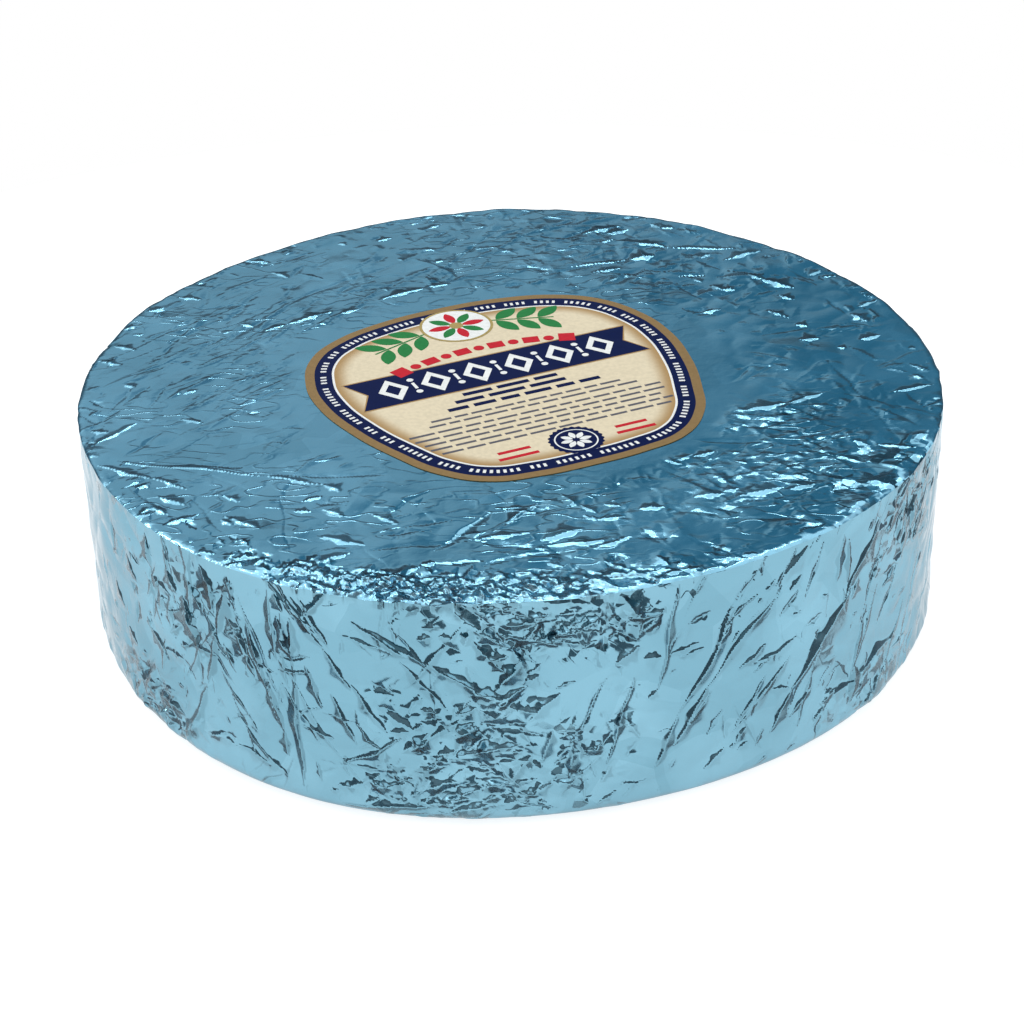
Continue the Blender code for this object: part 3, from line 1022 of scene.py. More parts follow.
def crumpled(points, sizes):
    """The points of the plain turned wheel moved into its uneven outline and folds, and their lean.

    The lean is the slope of the folds, for the foil's finish to add to the normal.
    """
    radius = np.hypot(points[:, 0], points[:, 1])
    angle = np.arctan2(points[:, 1], points[:, 0])
    z = points[:, 2]
    above_base, off_base = ramp(z, 0, BASE_EDGE_RADIUS), ramp(z, 0, FOLDS_START)
    clear = label_clearance(points)
    on_side = np.where(z < BASE_EDGE_RADIUS, 1.0, ramp(radius, WHEEL_RADIUS - RIM_JOIN, WHEEL_RADIUS))
    on_top = ramp(z, WHEEL_HEIGHT - RIM_JOIN, WHEEL_HEIGHT)

    near_rim = ramp(radius, WHEEL_RADIUS - RIM_BAND, WHEEL_RADIUS - RIM_RADIUS)
    near_rim = near_rim * ramp(z, WHEEL_HEIGHT - RIM_BAND, WHEEL_HEIGHT - RIM_RADIUS)
    rim_dents = RIM_DENT_HEIGHT * noise_at(points, RIM_DENT_SIZE, RIM_DENT_PLACE)
    lift = rim_dents * near_rim * sizes.facet_share
    relief = facet_relief(points) * sizes.facet_share
    lift = lift + TOP_FACET_HEIGHT * relief * on_top * clear

    height, lean_x, lean_y = fold_relief(points[:, 0], points[:, 1], top_folds())
    lift = lift + FOLD_SHARE * height * on_top * clear
    lean = np.column_stack((lean_x, lean_y, 0 * z)) * (on_top * clear)[:, None]

    height, lean_round, lean_up = fold_relief(angle * WHEEL_RADIUS, z, side_folds())
    out = (SIDE_FACET_HEIGHT * relief * above_base + FOLD_SHARE * height * off_base) * on_side
    out = out + outline_offset(angle) * ramp(radius, SMOOTH_TOP_RADIUS, WHEEL_RADIUS)
    side_lean = np.column_stack((-lean_round * np.sin(angle), lean_round * np.cos(angle), lean_up))
    below_rim = z < WHEEL_HEIGHT - RIM_LEAN_SHARE * RIM_DROP
    lean = lean + side_lean * (on_side * off_base * below_rim)[:, None]
    moved = radius + out
    points = np.column_stack((moved * np.cos(angle), moved * np.sin(angle), z + lift * above_base))
    return points, lean


def finish_mesh(name, mesh, materials, sharp_degrees=PRINT_SHARP_ANGLE):
    """Turns a finished bmesh into an object of the scene, smooth apart from its sharp edges."""
    data = bpy.data.meshes.new(name)
    mesh.to_mesh(data)
    mesh.free()
    for material in materials:
        data.materials.append(material)
    data.shade_smooth()
    data.set_sharp_from_angle(angle=math.radians(sharp_degrees))
    piece = bpy.data.objects.new(name, data)
    bpy.context.scene.collection.objects.link(piece)
    return piece


def foil_piece(name, mesh, sizes, material):
    """A slice of turned foil, crumpled. Its lean and its crumples are attributes for the finish."""
    piece = finish_mesh(name, mesh, [material], FOIL_SHARP_ANGLE)
    vertices = piece.data.vertices
    coordinates = np.zeros(len(vertices) * 3)
    vertices.foreach_get("co", coordinates)
    points = coordinates.reshape(-1, 3)
    moved, lean = crumpled(points, sizes)
    vertices.foreach_set("co", moved.ravel())
    attribute = piece.data.attributes.new("lean", "FLOAT_VECTOR", "POINT")
    attribute.data.foreach_set("vector", lean.ravel())
    attribute = piece.data.attributes.new("crumple", "FLOAT", "POINT")
    attribute.data.foreach_set("value", crumple_share(points))
    piece.data.update()
    return piece


def new_material(name):
    """A new material, with its node tree and the shader in it."""
    material = bpy.data.materials.new(name)
    material.use_nodes = True
    return material, material.node_tree, material.node_tree.nodes["Principled BSDF"]


def feed(tree, node, inputs):
    """Feeds the inputs of a node, each from a socket or a constant."""
    for name, value in inputs.items():
        socket = node.inputs[name]
        if isinstance(value, bpy.types.NodeSocket):
            tree.links.new(value, socket)
        elif socket.type == "RGBA":
            socket.default_value = (*value[:3], 1)
        else:
            socket.default_value = value


def new_node(tree, kind, inputs, **settings):
    """A new shader node with these settings and inputs."""
    node = tree.nodes.new("ShaderNode" + kind)
    for name, value in settings.items():
        setattr(node, name, value)
    feed(tree, node, inputs)
    return node


def joined(tree, operation, first, second):
    """Vector math on two sockets or constant vectors."""
    return new_node(tree, "VectorMath", {0: first, 1: second}, operation=operation).outputs["Vector"]


def scaled(tree, vector, factor):
    """A vector times a number."""
    inputs = {0: vector, "Scale": factor}
    return new_node(tree, "VectorMath", inputs, operation="SCALE").outputs["Vector"]


def calculated(tree, operation, first, second):
    """Math on two sockets or numbers."""
    return new_node(tree, "Math", {0: first, 1: second}, operation=operation).outputs["Value"]


def mapped(tree, value, low, high, to_low=0.0, to_high=1.0):
    """A number moved smoothly from one range to another, and held there."""
    inputs = {"Value": value, 1: low, 2: high, 3: to_low, 4: to_high}
    return new_node(tree, "MapRange", inputs, interpolation_type="SMOOTHSTEP").outputs["Result"]


def mixed(tree, factor, first, second):
    """A mix of two colours, each a socket or a constant."""
    inputs = {"Factor": factor, MIX_FIRST: first, MIX_SECOND: second}
    return new_node(tree, "Mix", inputs, data_type="RGBA").outputs[MIX_RESULT]


def noise_texture(tree, vector, scale, detail=2.0):
    """Cloudy noise with this many blobs to the metre."""
    return new_node(tree, "TexNoise", {"Vector": vector, "Scale": scale, "Detail": detail})


def read_attribute(tree, name):
    """The node of an attribute of the mesh."""
    return new_node(tree, "Attribute", {}, attribute_name=name)


def object_place(tree):
    """The place on the object, in metres."""
    return new_node(tree, "TexCoord", {}).outputs["Object"]


def tilted_cells(tree, vector, scale, share, tilt):
    """Straight-edged cells, a share of which lean a random way, as a vector to add to the normal."""
    cells = new_node(tree, "TexVoronoi", {"Vector": vector, "Scale": scale})
    lean = joined(tree, "SUBTRACT", cells.outputs["Color"], (0.5, 0.5, 0.5))
    pick = new_node(tree, "TexWhiteNoise", {"Vector": cells.outputs["Position"]})
    chosen = mapped(tree, pick.outputs["Value"], low=1 - share, high=1 - share * 0.6)
    return scaled(tree, scaled(tree, lean, 2 * tilt), chosen)


def wavy_ridges(tree, vector, scale, width):
    """Height of thin wavy ridges, where a noise crosses its middle value."""
    level = noise_texture(tree, vector, scale, detail=1).outputs["Fac"]
    away = calculated(tree, "ABSOLUTE", calculated(tree, "SUBTRACT", level, 0.5), 0)
    return mapped(tree, away, low=0, high=width, to_low=1, to_high=0)


def start_foil(name, finish, colour):
    """A foil material with its metal, its lacquer and its tones, still without its folds.

    It also returns the place on the object, plain and warped, and the cloud that varies the finish.
    """
    material, tree, shader = new_material(name)
    place = object_place(tree)
    cloud = noise_texture(tree, place, scale=30, detail=4).outputs["Fac"]
    cloud = mapped(tree, cloud, low=0.35, high=0.65)
    drift = noise_texture(tree, place, scale=45).outputs["Color"]
    wobble = joined(tree, "SUBTRACT", drift, (0.5, 0.5, 0.5))
    warped = joined(tree, "ADD", place, scaled(tree, wobble, 5 * MM))
    facets = new_node(tree, "TexVoronoi", {"Vector": warped, "Scale": 80}).outputs["Color"]
    facet = new_node(tree, "SeparateColor", {"Color": facets}).outputs["Red"]
    facet_tone = mapped(tree, facet, low=0, high=1, to_high=0.45)
    cloud_tone = mapped(tree, cloud, low=0, high=1, to_high=0.55)
    tone = calculated(tree, "ADD", facet_tone, cloud_tone)
    deep = [channel * 0.85 for channel in colour[:3]]
    pale = [channel + 0.03 for channel in colour[:3]]
    settings = {
        "Base Color": mixed(tree, tone, deep, pale),
        "Metallic": 1.0,
        "Specular Tint": EDGE_TINT,
        "Coat Weight": finish.coat,
        "Coat Roughness": 0.06,
    }
    feed(tree, shader, settings)
    return material, tree, shader, place, warped, cloud


def paint_shade(tree, shader, where, colour, share):
    """Paints shade into the foil's colour where it is wrinkled or steep, by this share at most."""
    base = shader.inputs["Base Color"].links[0].from_socket
    # painted shade: the colour darkens towards this deep tone in creases and on steep faces
    deep = [channel * 0.45 for channel in colour[:3]]
    amount = calculated(tree, "MULTIPLY", where, share)
    feed(tree, shader, {"Base Color": mixed(tree, amount, base, deep)})


def finish_foil(tree, shader, height, depth, vector):
    """Gives the foil its bump, the lean of its folds, and small leaning cells where it is crumpled."""
    cells = tilted_cells(tree, vector, scale=400, share=0.9, tilt=0.55)
    chips = scaled(tree, cells, read_attribute(tree, "crumple").outputs["Fac"])
    bump = new_node(tree, "Bump", {"Strength": 0.6, "Distance": depth, "Height": height})
    folds = read_attribute(tree, "lean").outputs["Vector"]
    normal = joined(tree, "ADD", joined(tree, "ADD", bump.outputs["Normal"], folds), chips)
    feed(tree, shader, {"Normal": joined(tree, "NORMALIZE", normal, (0, 0, 0))})


def foil_top_material(finish):
    """The flat top: soft wrinkles, with painted shade in them that is darker towards its right, and
    crumples along the rim.
    """
    colour = finish.top_colour
    material, tree, shader, place, warped, cloud = start_foil("blue foil top", finish, colour)
    rough = mapped(tree, cloud, 0, 1, finish.roughness + 0.02, finish.roughness + 0.1)
    feed(tree, shader, {"Roughness": rough})
    wide = joined(tree, "MULTIPLY", warped, (0.5, 1, 1))
    patches = noise_texture(tree, place, scale=24).outputs["Fac"]
    patches = mapped(tree, patches, low=0.4, high=0.6)
    wrinkles = wavy_ridges(tree, wide, scale=190, width=0.05)
    wrinkles = calculated(tree, "MULTIPLY", wrinkles, patches)
    # painted shade in the wrinkles, stronger towards the right of the top
    x = new_node(tree, "SeparateXYZ", {"Vector": place}).outputs["X"]
    share = mapped(tree, x, low=-60 * MM, high=70 * MM, to_low=0.18, to_high=0.6)
    paint_shade(tree, shader, wrinkles, colour, share)
    dents = noise_texture(tree, warped, scale=210, detail=3).outputs["Fac"]
    height = calculated(tree, "ADD", wrinkles, dents)
    finish_foil(tree, shader, height, 0.14 * MM, warped)
    return material


def foil_side_material(finish):
    """The side: smooth foil pulled tight, with fine leaning gathers, and painted shade where its folds are
    steep.
    """
    colour = finish.shaded_side_colour
    material, tree, shader, place, warped, cloud = start_foil("blue foil side", finish, colour)
    rough = mapped(tree, cloud, 0, 1, finish.roughness - 0.04, finish.roughness + 0.04)
    feed(tree, shader, {"Roughness": rough})
    z = new_node(tree, "SeparateXYZ", {"Vector": place}).outputs["Z"]
    turn = noise_texture(tree, place, scale=14).outputs["Fac"]
    turn = mapped(tree, turn, low=0.3, high=0.7, to_low=-3, to_high=9)
    inputs = {"Vector": warped, "Angle": calculated(tree, "MULTIPLY", z, turn)}
    twisted = new_node(tree, "VectorRotate", inputs, rotation_type="Z_AXIS").outputs["Vector"]
    leaning = joined(tree, "MULTIPLY", twisted, (1, 1, 0.22))
    patches = noise_texture(tree, place, scale=22).outputs["Fac"]
    gathered = mapped(tree, patches, low=0.45, high=0.6)
    gathers = calculated(tree, "MULTIPLY", wavy_ridges(tree, leaning, 110, 0.04), gathered)
    wrinkled = mapped(tree, patches, low=0.55, high=0.4)
    wrinkles = calculated(tree, "MULTIPLY", wavy_ridges(tree, warped, 150, 0.04), wrinkled)
    # painted shade on the folds' steep faces, darker the steeper they are
    folds = read_attribute(tree, "lean").outputs["Vector"]
    steepness = new_node(tree, "VectorMath", {0: folds}, operation="LENGTH").outputs["Value"]
    paint_shade(tree, shader, mapped(tree, steepness, low=0.08, high=0.6), colour, share=0.5)
    dents = noise_texture(tree, warped, scale=260, detail=3).outputs["Fac"]
    ridges = calculated(tree, "MULTIPLY", calculated(tree, "ADD", gathers, wrinkles), 0.5)
    height = calculated(tree, "ADD", ridges, calculated(tree, "MULTIPLY", dents, 0.6))
    low_cells = joined(tree, "MULTIPLY", warped, (1, 1, 1.3))
    finish_foil(tree, shader, height, 0.15 * MM, low_cells)
    return material


def print_material(name, colour, roughness=0.36, metallic=0.0, edge_colour=None):
    """Ink on coated paper, faintly mottled. An edge colour fills in where the edge attribute is 1."""
    material, tree, shader = new_material(name)
    place = object_place(tree)
    mottle = noise_texture(tree, place, scale=900, detail=3).outputs["Fac"]
    mottle = mapped(tree, mottle, low=0.3, high=0.7)
    base = mixed(tree, mottle, [c * 0.94 for c in colour], [c * 1.04 for c in colour])
    if edge_colour:
        edge = mapped(tree, read_attribute(tree, "edge").outputs["Fac"], low=0, high=1)
        base = mixed(tree, edge, base, edge_colour)
    wave = noise_texture(tree, place, scale=70).outputs["Fac"]
    bump = new_node(tree, "Bump", {"Strength": 0.5, "Distance": 0.4 * MM, "Height": wave})
    settings = {
        "Base Color": base,
        "Roughness": roughness,
        "Metallic": metallic,
        "Specular IOR Level": 0.05,
        "Normal": bump.outputs["Normal"],
    }
    feed(tree, shader, settings)
    return material


def label_place(lift):
    """The matrix that lays a piece of the label's own frame on the wheel, this far above the foil."""
    move = Matrix.Translation((*LABEL_CENTRE, WHEEL_HEIGHT + lift))
    return move @ Matrix.Rotation(LABEL_TURN, 4, "Z")


def label_outline():
    """The label's smooth outline as a flat mesh with a single face, from a Bezier curve."""
    left_half = [(-x, y) for x, y in reversed(LABEL_HALF_OUTLINE)]
    outline = [(0, LABEL_TOP), *LABEL_HALF_OUTLINE, (0, LABEL_BOTTOM), *left_half]
    curve = bpy.data.curves.new("label outline", "CURVE")
    curve.dimensions = "2D"
    curve.fill_mode = "NONE"
    curve.resolution_u = 8
    spline = curve.splines.new("BEZIER")
    spline.bezier_points.add(len(outline) - 1)
    for point, (x, y) in zip(spline.bezier_points, outline):
        point.co = (x, y, 0)
        point.handle_left_type = "AUTO"
        point.handle_right_type = "AUTO"
    spline.use_cyclic_u = True
    holder = bpy.data.objects.new("label outline", curve)
    bpy.context.scene.collection.objects.link(holder)
    bpy.context.view_layer.update()
    evaluated = holder.evaluated_get(bpy.context.evaluated_depsgraph_get())
    data = bpy.data.meshes.new_from_object(evaluated)
    mesh = bmesh.new()
    mesh.from_mesh(data)
    bpy.data.objects.remove(holder)
    bpy.data.curves.remove(curve)
    bpy.data.meshes.remove(data)
    bmesh.ops.remove_doubles(mesh, verts=mesh.verts, dist=1e-6)
    bmesh.ops.contextual_create(mesh, geom=mesh.edges)
    for face in mesh.faces:
        if face.normal.z < 0:
            face.normal_flip()
    return mesh


def label_sheet_mesh():
    """The paper sheet with its printed rings, and the middle line of the navy ring as (x, y) points."""
    mesh = label_outline()
    edge = mesh.verts.layers.float.new("edge")
    field = list(mesh.faces)
    middle_line = []
    for width, slot in LABEL_RINGS:
        ring = bmesh.ops.inset_region(
            mesh, faces=field, thickness=width, use_even_offset=True, use_boundary=True
        )
        for face in ring["faces"]:
            face.material_index = slot
        if slot == NAVY_SLOT and not middle_line:
            middle_line = [vert.co.xy.copy() for vert in field[0].verts]
        if slot == FIELD_SLOT:
            for face in ring["faces"]:
                for vert in face.verts:
                    vert[edge] = 1.0
            for vert in field[0].verts:
                vert[edge] = 0.0
    field[0].material_index = FIELD_SLOT
    bmesh.ops.recalc_face_normals(mesh, faces=mesh.faces)
    under = bmesh.ops.extrude_face_region(mesh, geom=list(mesh.faces), use_keep_orig=True)
    lower = [part for part in under["geom"] if isinstance(part, bmesh.types.BMVert)]
    bmesh.ops.translate(mesh, verts=lower, vec=(0, 0, -SHEET_THICKNESS))
    bmesh.ops.recalc_face_normals(mesh, faces=mesh.faces)
    return mesh, middle_line


def add_disc(mesh, x, y, radius, segments):
    """A flat disc with its middle at x, y."""
    made = bmesh.ops.create_circle(mesh, cap_ends=True, segments=segments, radius=radius * MM)
    bmesh.ops.translate(mesh, verts=made["verts"], vec=(x * MM, y * MM, 0))
    return made["verts"]


def place_print(mesh, verts, x, y, width, height, turn=0.0):
    """Lays flat print of unit size at x, y, and gives it its turn and size."""
    place = Matrix.Translation((x * MM, y * MM, 0)) @ Matrix.Rotation(turn, 4, "Z")
    place = place @ Matrix.Diagonal((width * MM, height * MM, 1, 1))
    bmesh.ops.transform(mesh, matrix=place, verts=verts)


def add_bar(mesh, x, y, width, height, turn=0.0):
    """A flat bar with its middle at x, y."""
    made = bmesh.ops.create_grid(mesh, x_segments=1, y_segments=1, size=0.5)
    place_print(mesh, made["verts"], x, y, width, height, turn)


def add_leaf(mesh, x, y, length, width, turn):
    """A flat leaf with two pointed ends, which starts at x, y."""
    made = bmesh.ops.create_circle(mesh, cap_ends=True, segments=20, radius=1)
    for vert in made["verts"]:
        vert.co.y *= abs(vert.co.y) ** LEAF_POINT
        vert.co.x += 1
    place_print(mesh, made["verts"], x, y, length / 2, width / 2, turn)


def add_lozenge(mesh, x, y, width, height):
    """A flat lozenge with its middle at x, y."""
    made = bmesh.ops.create_circle(mesh, cap_ends=True, segments=4, radius=1)
    place_print(mesh, made["verts"], x, y, width / 2, height / 2)


def add_shape(mesh, points):
    """A flat shape from its corners, in millimetres."""
    mesh.faces.new([mesh.verts.new((x * MM, y * MM, 0)) for x, y in points])


def finish_print(name, mesh, layer, material):
    """Gives flat print its thickness and lays it on the label. Higher layers lie on lower ones."""
    for face in mesh.faces:
        if face.normal.z < 0:
            face.normal_flip()
    raised = bmesh.ops.extrude_face_region(mesh, geom=list(mesh.faces), use_keep_orig=True)
    upper = [part for part in raised["geom"] if isinstance(part, bmesh.types.BMVert)]
    bmesh.ops.translate(mesh, verts=upper, vec=(0, 0, INK_THICKNESS))
    bmesh.ops.recalc_face_normals(mesh, faces=mesh.faces)
    lift = LABEL_LIFT + SHEET_THICKNESS + layer * INK_STEP
    bmesh.ops.transform(mesh, matrix=label_place(lift), verts=mesh.verts)
    piece = finish_mesh(name, mesh, [material])
    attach(piece, "root")


def print_words(mesh, rng, line_y, width, height, short, long):
    """A line of plain bars as long as words, in the place of small print."""
    x = -width / 2
    while x < width / 2 - short:
        length = min(rng.uniform(short, long), width / 2 - x)
        add_bar(mesh, x + length / 2, line_y, length, height)
        x += length + WORD_GAP_SHARE * height + WORD_GAP


class WHEEL_OT_foil(bpy.types.Operator):
    """Make the foil that wraps the wheel, in slices"""

    bl_idname = "cheese_wheel.foil"
    bl_label = "Foil"

    def execute(self, context):
        sizes = context.scene.wheel_sizes
        finish = context.scene.foil_finish
        top_foil, side_foil = foil_top_material(finish), foil_side_material(finish)
        for name, on_top, start, end, spacing in FOIL_SLICES:
            spacing *= sizes.coarseness * MM
            profile = top_profile(spacing) if on_top else side_profile(spacing)
            start, end = math.radians(start), math.radians(end)
            steps = round((end - start) * WHEEL_RADIUS / spacing)
            mesh = foil_slice(profile, start, end, steps)
            piece = foil_piece(name, mesh, sizes, top_foil if on_top else side_foil)
            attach(piece, "root")
            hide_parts("foil_wrapped_wheel")
        return {"FINISHED"}


class WHEEL_OT_label(bpy.types.Operator):
    """Make the paper label with its printed rings"""

    bl_idname = "cheese_wheel.label"
    bl_label = "Label"

    def execute(self, context):
        inks = context.scene.label_inks
        materials = [
            print_material("tan border", inks.tan, roughness=0.34, metallic=0.35),
            print_material("navy ring", inks.navy, roughness=0.3),
            print_material("white line", inks.white),
            print_material("cream field", inks.cream, edge_colour=inks.toned),
        ]
        mesh, middle_line = label_sheet_mesh()
        place = label_place(LABEL_LIFT + SHEET_THICKNESS)
        bmesh.ops.transform(mesh, matrix=place, verts=mesh.verts)
        sheet = finish_mesh("label_sheet", mesh, materials)
        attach(sheet, "root")
        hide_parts("paper_label")

        mesh = bmesh.new()
        rng = np.random.RandomState(DASH_SEED)
        loop = middle_line + middle_line[:1]
        walked, next_dash, left_in_word = 0.0, 0.0, RING_FIRST_WORD
        for first, second in zip(loop, loop[1:]):
            step = (second - first).length
            turn = math.atan2(second.y - first.y, second.x - first.x)
            while next_dash < walked + step:
                place = first.lerp(second, (next_dash - walked) / step) / MM
                add_bar(mesh, place.x, place.y, *RING_DASH, turn)
                left_in_word -= 1
                next_dash += RING_DASH_PITCH if left_in_word else RING_WORD_PITCH
                left_in_word = left_in_word or rng.randint(*RING_WORDS)
            walked += step
        white = print_material("white ink", inks.white)
        finish_print("label_ring_dashes", mesh, 1, white)
        return {"FINISHED"}


class WHEEL_OT_banner(bpy.types.Operator):
    """Print the swallow-tailed banner with its row of lozenges, and the red arch over it"""

    bl_idname = "cheese_wheel.banner"
    bl_label = "Banner"

    def execute(self, context):
        inks = context.scene.label_inks
        for name, grow, layer, colour in (
            ("label_banner_edge", BANNER_EDGE, 1, inks.toned),
            ("label_banner", 0.0, 2, inks.navy),
        ):
            mesh = bmesh.new()
            half, notch = BANNER_HALF_LENGTH + grow, BANNER_HALF_LENGTH - BANNER_NOTCH + grow
            low, high = BANNER_LOW - grow, BANNER_HIGH + grow
            middle = (low + high) / 2
            right = [(half, low), (notch, middle), (half, high)]
            add_shape(mesh, right + [(-x, y) for x, y in reversed(right)])
            material = print_material(name.replace("_", " "), colour, roughness=0.3)
            finish_print(name, mesh, layer, material)
        middle = (BANNER_LOW + BANNER_HIGH) / 2
        outer, inner = bmesh.new(), bmesh.new()
        for i in range(LOZENGES):
            x = (i - (LOZENGES - 1) / 2) * LOZENGE_PITCH
            add_lozenge(outer, x, middle, *LOZENGE)
            add_lozenge(inner, x, middle, *LOZENGE_HEART)
            if i:
                between = x - LOZENGE_PITCH / 2
                for y in (middle - BEAD_HEIGHT, middle + BEAD_HEIGHT):
                    add_disc(outer, between, y, BEAD_RADIUS, segments=20)
                add_bar(outer, between, middle, *BEAD_BAR)
        finish_print("label_lozenges", outer, 3, print_material("banner white", inks.white))
        material = print_material("banner navy", inks.navy, roughness=0.3)
        finish_print("label_lozenge_hearts", inner, 4, material)

        arch = bmesh.new()
        for i in range(ARCH_BLOCKS):
            turn = (i - (ARCH_BLOCKS - 1) / 2) * ARCH_PITCH
            x, y = ARCH_RADIUS * math.sin(turn), ARCH_CENTRE + ARCH_RADIUS * math.cos(turn)
            if i % 2:
                add_disc(arch, x, y, ARCH_DOT_RADIUS, segments=28)
            else:
                block = ARCH_END_BLOCK if i in (0, ARCH_BLOCKS - 1) else ARCH_BLOCK
                add_bar(arch, x, y, *block, -turn)
        finish_print("label_arch", arch, 3, print_material("red ink", inks.red, roughness=0.33))
        return {"FINISHED"}


class WHEEL_OT_medallion(bpy.types.Operator):
    """Print the medallion with its flower, and the leafy sprigs at its sides"""

    bl_idname = "cheese_wheel.medallion"
    bl_label = "Medallion"

    def execute(self, context):
        inks = context.scene.label_inks
        sprigs = bmesh.new()
        for side in (-1, 1):
            stem = Vector(SPRIG_END) - Vector(SPRIG_START)
            middle = (Vector(SPRIG_START) + Vector(SPRIG_END)) / 2
            droop = math.atan2(stem.y, stem.x)
            add_bar(sprigs, side * middle.x, middle.y, stem.length, SPRIG_STEM, side * droop)
            for i in range(SPRIG_LEAVES):
                foot = Vector(SPRIG_START) + stem * (i + SPRIG_FOOT) / SPRIG_LEAVES
                for branch in (-1, 1):
                    turn = droop + branch * SPRIG_SPREAD
                    x, y = foot.x + SPRIG_STEM * math.cos(turn), foot.y + SPRIG_STEM * math.sin(turn)
                    direction = turn if side > 0 else math.pi - turn
                    add_leaf(sprigs, side * x, y, *SPRIG_LEAF, direction)
        material = print_material("green ink", inks.green, roughness=0.34)
        finish_print("label_sprigs", sprigs, 2, material)
        for name, radius, layer, colour, metallic in (
            ("label_medallion_rim", 10.4, 4, inks.gold, 0.4),
            ("label_medallion", 9.6, 5, inks.white, 0.0),
        ):
            mesh = bmesh.new()
            add_disc(mesh, 0, MEDALLION_Y, radius, segments=72)
            material = print_material(name.replace("_", " "), colour, roughness=0.32, metallic=metallic)
            finish_print(name, mesh, layer, material)
        for name, first, layer, colour in (
            ("label_flower_red", 0, 6, inks.red),
            ("label_flower_green", 1, 6, inks.green),
        ):
            mesh = bmesh.new()
            for i in range(first, PETALS, 2):
                turn = TURN * i / PETALS
                x, y = PETAL_START * math.cos(turn), MEDALLION_Y + PETAL_START * math.sin(turn)
                add_leaf(mesh, x, y, *PETAL, turn)
            material = print_material(name.replace("_", " "), colour, roughness=0.33)
            finish_print(name, mesh, layer, material)
        mesh = bmesh.new()
        add_disc(mesh, 0, MEDALLION_Y, FLOWER_MIDDLE, segments=32)
        material = print_material("flower gold", inks.gold, roughness=0.32, metallic=0.4)
        finish_print("label_flower_middle", mesh, 7, material)
        return {"FINISHED"}


class WHEEL_OT_small_print(bpy.types.Operator):
    """Print the plain bars in the place of small print, and the seal at the label's foot"""

    bl_idname = "cheese_wheel.small_print"
    bl_label = "Small Print"

    def execute(self, context):
        inks = context.scene.label_inks
        rng = np.random.RandomState(PRINT_SEED)
        bold = bmesh.new()
        for line_y, width in BOLD_LINES:
            print_words(bold, rng, line_y, width, *BOLD_BAR)
        finish_print("label_bold_lines", bold, 1, print_material("bold lines", inks.navy))
        fine = bmesh.new()
        for line_y, width in FINE_LINES:
            print_words(fine, rng, line_y, width, *FINE_BAR)
        finish_print("label_fine_lines", fine, 1, print_material("fine lines", inks.grey))
        marks = bmesh.new()
        for x in RED_MARK_PLACES:
            for line_y, width in RED_MARK_LINES:
                add_bar(marks, x, line_y, width, RED_MARK_HEIGHT)
        finish_print("label_red_marks", marks, 1, print_material("red marks", inks.red))
        seal = bmesh.new()
        for vert in add_disc(seal, 0, 0, SEAL_RADIUS, segments=144):
            turn = math.atan2(vert.co.y, vert.co.x)
            vert.co *= 1 + SEAL_SCALLOP_DEPTH * math.cos(SEAL_SCALLOPS * turn)
        bmesh.ops.translate(seal, verts=seal.verts, vec=(SEAL_PLACE[0] * MM, SEAL_PLACE[1] * MM, 0))
        finish_print("label_seal", seal, 2, print_material("seal navy", inks.navy, roughness=0.3))
        for name, radius, layer, colour in (
            ("label_seal_line", 5.7, 3, inks.white),
            ("label_seal_middle", 5.3, 4, inks.navy),
        ):
            mesh = bmesh.new()
            add_disc(mesh, *SEAL_PLACE, radius, segments=64)
            material = print_material(name.replace("_", " "), colour, roughness=0.3)
            finish_print(name, mesh, layer, material)
        star = bmesh.new()
        for i in range(PETALS):
            turn = TURN * i / PETALS
            start = SEAL_PETAL_START * Vector((math.cos(turn), math.sin(turn)))
            add_leaf(star, SEAL_PLACE[0] + start.x, SEAL_PLACE[1] + start.y, *SEAL_PETAL, turn)
        finish_print("label_seal_star", star, 5, print_material("seal white", inks.white))
        return {"FINISHED"}


class WHEEL_OT_studio(bpy.types.Operator):
    """Make the floor, the lights and the camera"""

    bl_idname = "cheese_wheel.studio"
    bl_label = "Studio"

    def execute(self, context):
        studio = context.scene.studio_sizes
        mesh = bmesh.new()
        bmesh.ops.create_circle(mesh, cap_ends=True, segments=128, radius=studio.floor_radius)
        material, tree, shader = new_material("pale floor")
        settings = {
            "Base Color": (0.4, 0.4, 0.4),
            "Roughness": 0.9,
            "Specular IOR Level": 0.0,
            "Emission Color": PALE,
            "Emission Strength": 0.83,
        }
        feed(tree, shader, settings)
        floor = finish_mesh("floor", mesh, [material])
        for light in LIGHTS:
            add_light(*light)
        set_world()
        add_camera(studio)
        return {"FINISHED"}


def add_light(name, place, width, height, power):
    """A rectangle of light that aims at the wheel's base."""
    data = bpy.data.lights.new(name, "AREA")
    data.shape = "RECTANGLE"
    data.size = width
    data.size_y = height
    data.energy = power
    lamp = bpy.data.objects.new(name, data)
    lamp.location = place
    lamp.rotation_euler = (-Vector(place)).to_track_quat("-Z", "Y").to_euler()
    bpy.context.scene.collection.objects.link(lamp)


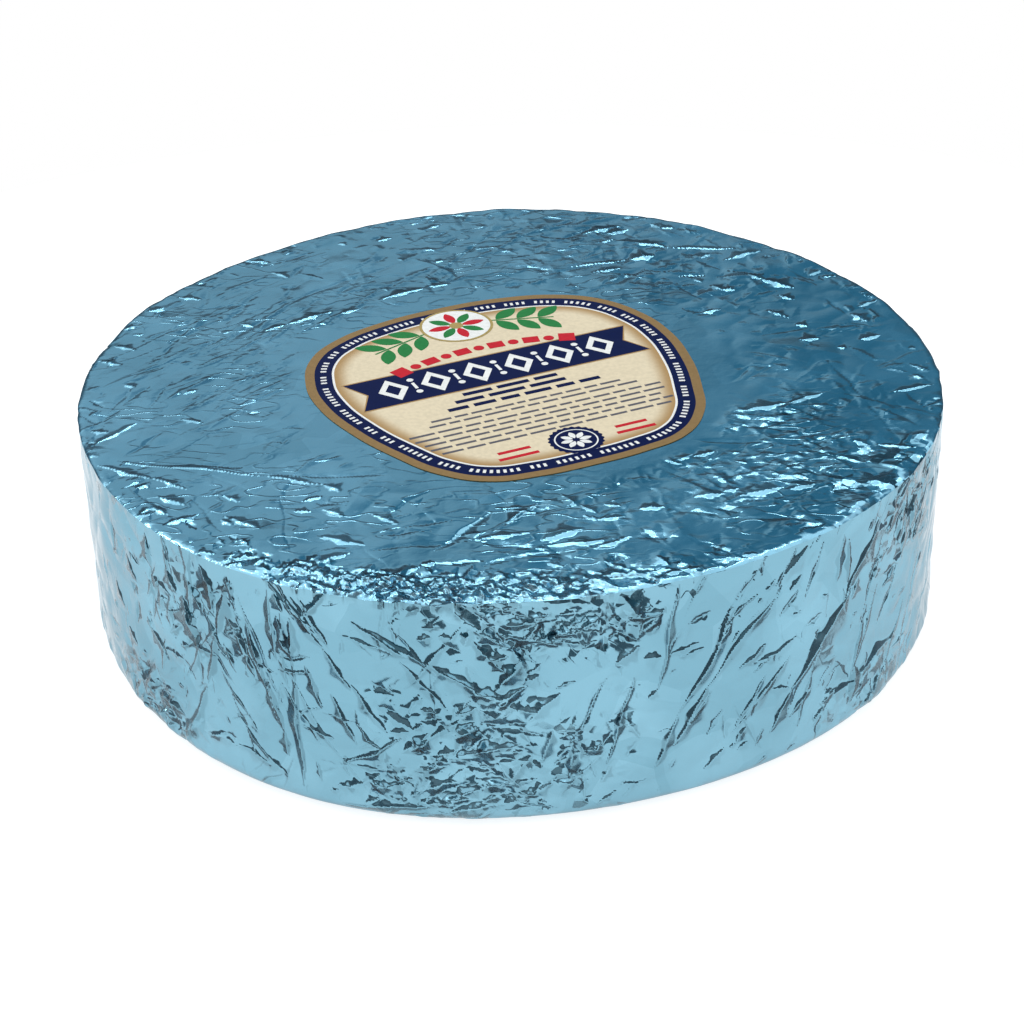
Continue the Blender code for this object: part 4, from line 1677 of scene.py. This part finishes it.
def set_world():
    """A studio that is mid blue-grey behind the wheel, dark low down behind the camera and pale above it.

    Its parts meet at soft edges, which are set by the direction from the wheel, from -1 to 1 along each
    axis.
    """
    world = bpy.data.worlds.new("studio")
    bpy.context.scene.world = world
    world.use_nodes = True
    tree = world.node_tree
    place = new_node(tree, "TexCoord", {}).outputs["Generated"]
    axes = new_node(tree, "SeparateXYZ", {"Vector": place})
    x, y, z = (axes.outputs[name] for name in "XYZ")
    towards = calculated(tree, "ADD", x, calculated(tree, "MULTIPLY", z, 0.8))
    behind = mixed(tree, mapped(tree, towards, low=0.3, high=0.53), BACK_LEFT, BACK_RIGHT)
    behind = mixed(tree, mapped(tree, z, low=0.2, high=0.38), BACK_LOW, behind)
    before = mixed(tree, mapped(tree, z, low=0.2, high=0.5), FRONT_LOW, FRONT_HIGH)
    around = mixed(tree, mapped(tree, y, low=-0.2, high=0.2), before, behind)
    aside = mapped(tree, z, low=0.42, high=0.6, to_high=0.5)
    aside = calculated(tree, "MULTIPLY", calculated(tree, "ABSOLUTE", x, 0), aside)
    height = calculated(tree, "ADD", z, aside)
    around = mixed(tree, mapped(tree, height, low=0.82, high=0.94), around, OVERHEAD)
    seen = new_node(tree, "LightPath", {}).outputs["Is Camera Ray"]
    settings = {"Color": mixed(tree, seen, around, PALE), "Strength": 1.0}
    feed(tree, tree.nodes["Background"], settings)


def add_camera(studio):
    """The camera at the photograph's viewing angle, a little above the middle of the frame."""
    view = bpy.context.scene.view_settings
    view.view_transform = "Standard"
    view.look = "None"
    back = Vector((0, -math.cos(studio.elevation), math.sin(studio.elevation)))
    right = Vector((1, 0, 0))
    up = back.cross(right)
    turned_right = right * math.cos(studio.roll) + up * math.sin(studio.roll)
    turned_up = up * math.cos(studio.roll) - right * math.sin(studio.roll)
    axes = Matrix((turned_right, turned_up, back)).transposed().to_4x4()
    data = bpy.data.cameras.new("camera")
    data.lens = studio.lens
    data.sensor_width = SENSOR_WIDTH
    data.shift_x, data.shift_y = CAMERA_SHIFT
    camera = bpy.data.objects.new("camera", data)
    centre = Vector((0, 0, WHEEL_HEIGHT / 2))
    camera.matrix_world = Matrix.Translation(centre + back * studio.distance) @ axes
    bpy.context.scene.collection.objects.link(camera)
    bpy.context.scene.camera = camera


OPERATORS = (
    WHEEL_OT_foil,
    WHEEL_OT_label,
    WHEEL_OT_banner,
    WHEEL_OT_medallion,
    WHEEL_OT_small_print,
    WHEEL_OT_studio,
)


class WHEEL_PT_panel(bpy.types.Panel):
    """The sidebar's list of everything that can be made"""

    bl_label = "Cheese Wheel"
    bl_idname = "WHEEL_PT_panel"
    bl_space_type = "VIEW_3D"
    bl_region_type = "UI"
    bl_category = "Cheese Wheel"

    def draw(self, context):
        for operator in OPERATORS:
            self.layout.operator(operator.bl_idname)


GROUPS = (WheelSizes, FoilFinish, LabelInks, StudioSizes)
CLASSES = (*GROUPS, *OPERATORS, WHEEL_PT_panel)


def register():
    """Registers the classes and hangs their settings on the scene."""
    for cls in CLASSES:
        bpy.utils.register_class(cls)
    bpy.types.Scene.wheel_sizes = PointerProperty(type=WheelSizes)
    bpy.types.Scene.foil_finish = PointerProperty(type=FoilFinish)
    bpy.types.Scene.label_inks = PointerProperty(type=LabelInks)
    bpy.types.Scene.studio_sizes = PointerProperty(type=StudioSizes)


def unregister():
    """Takes the settings and the classes away again."""
    del bpy.types.Scene.studio_sizes
    del bpy.types.Scene.label_inks
    del bpy.types.Scene.foil_finish
    del bpy.types.Scene.wheel_sizes
    for cls in reversed(CLASSES):
        bpy.utils.unregister_class(cls)


def main():
    """Makes everything."""
    register()
    bpy.ops.cheese_wheel.foil()
    bpy.ops.cheese_wheel.label()
    bpy.ops.cheese_wheel.banner()
    bpy.ops.cheese_wheel.medallion()
    bpy.ops.cheese_wheel.small_print()
    bpy.ops.cheese_wheel.studio()


if __name__ == "__main__":
    main()
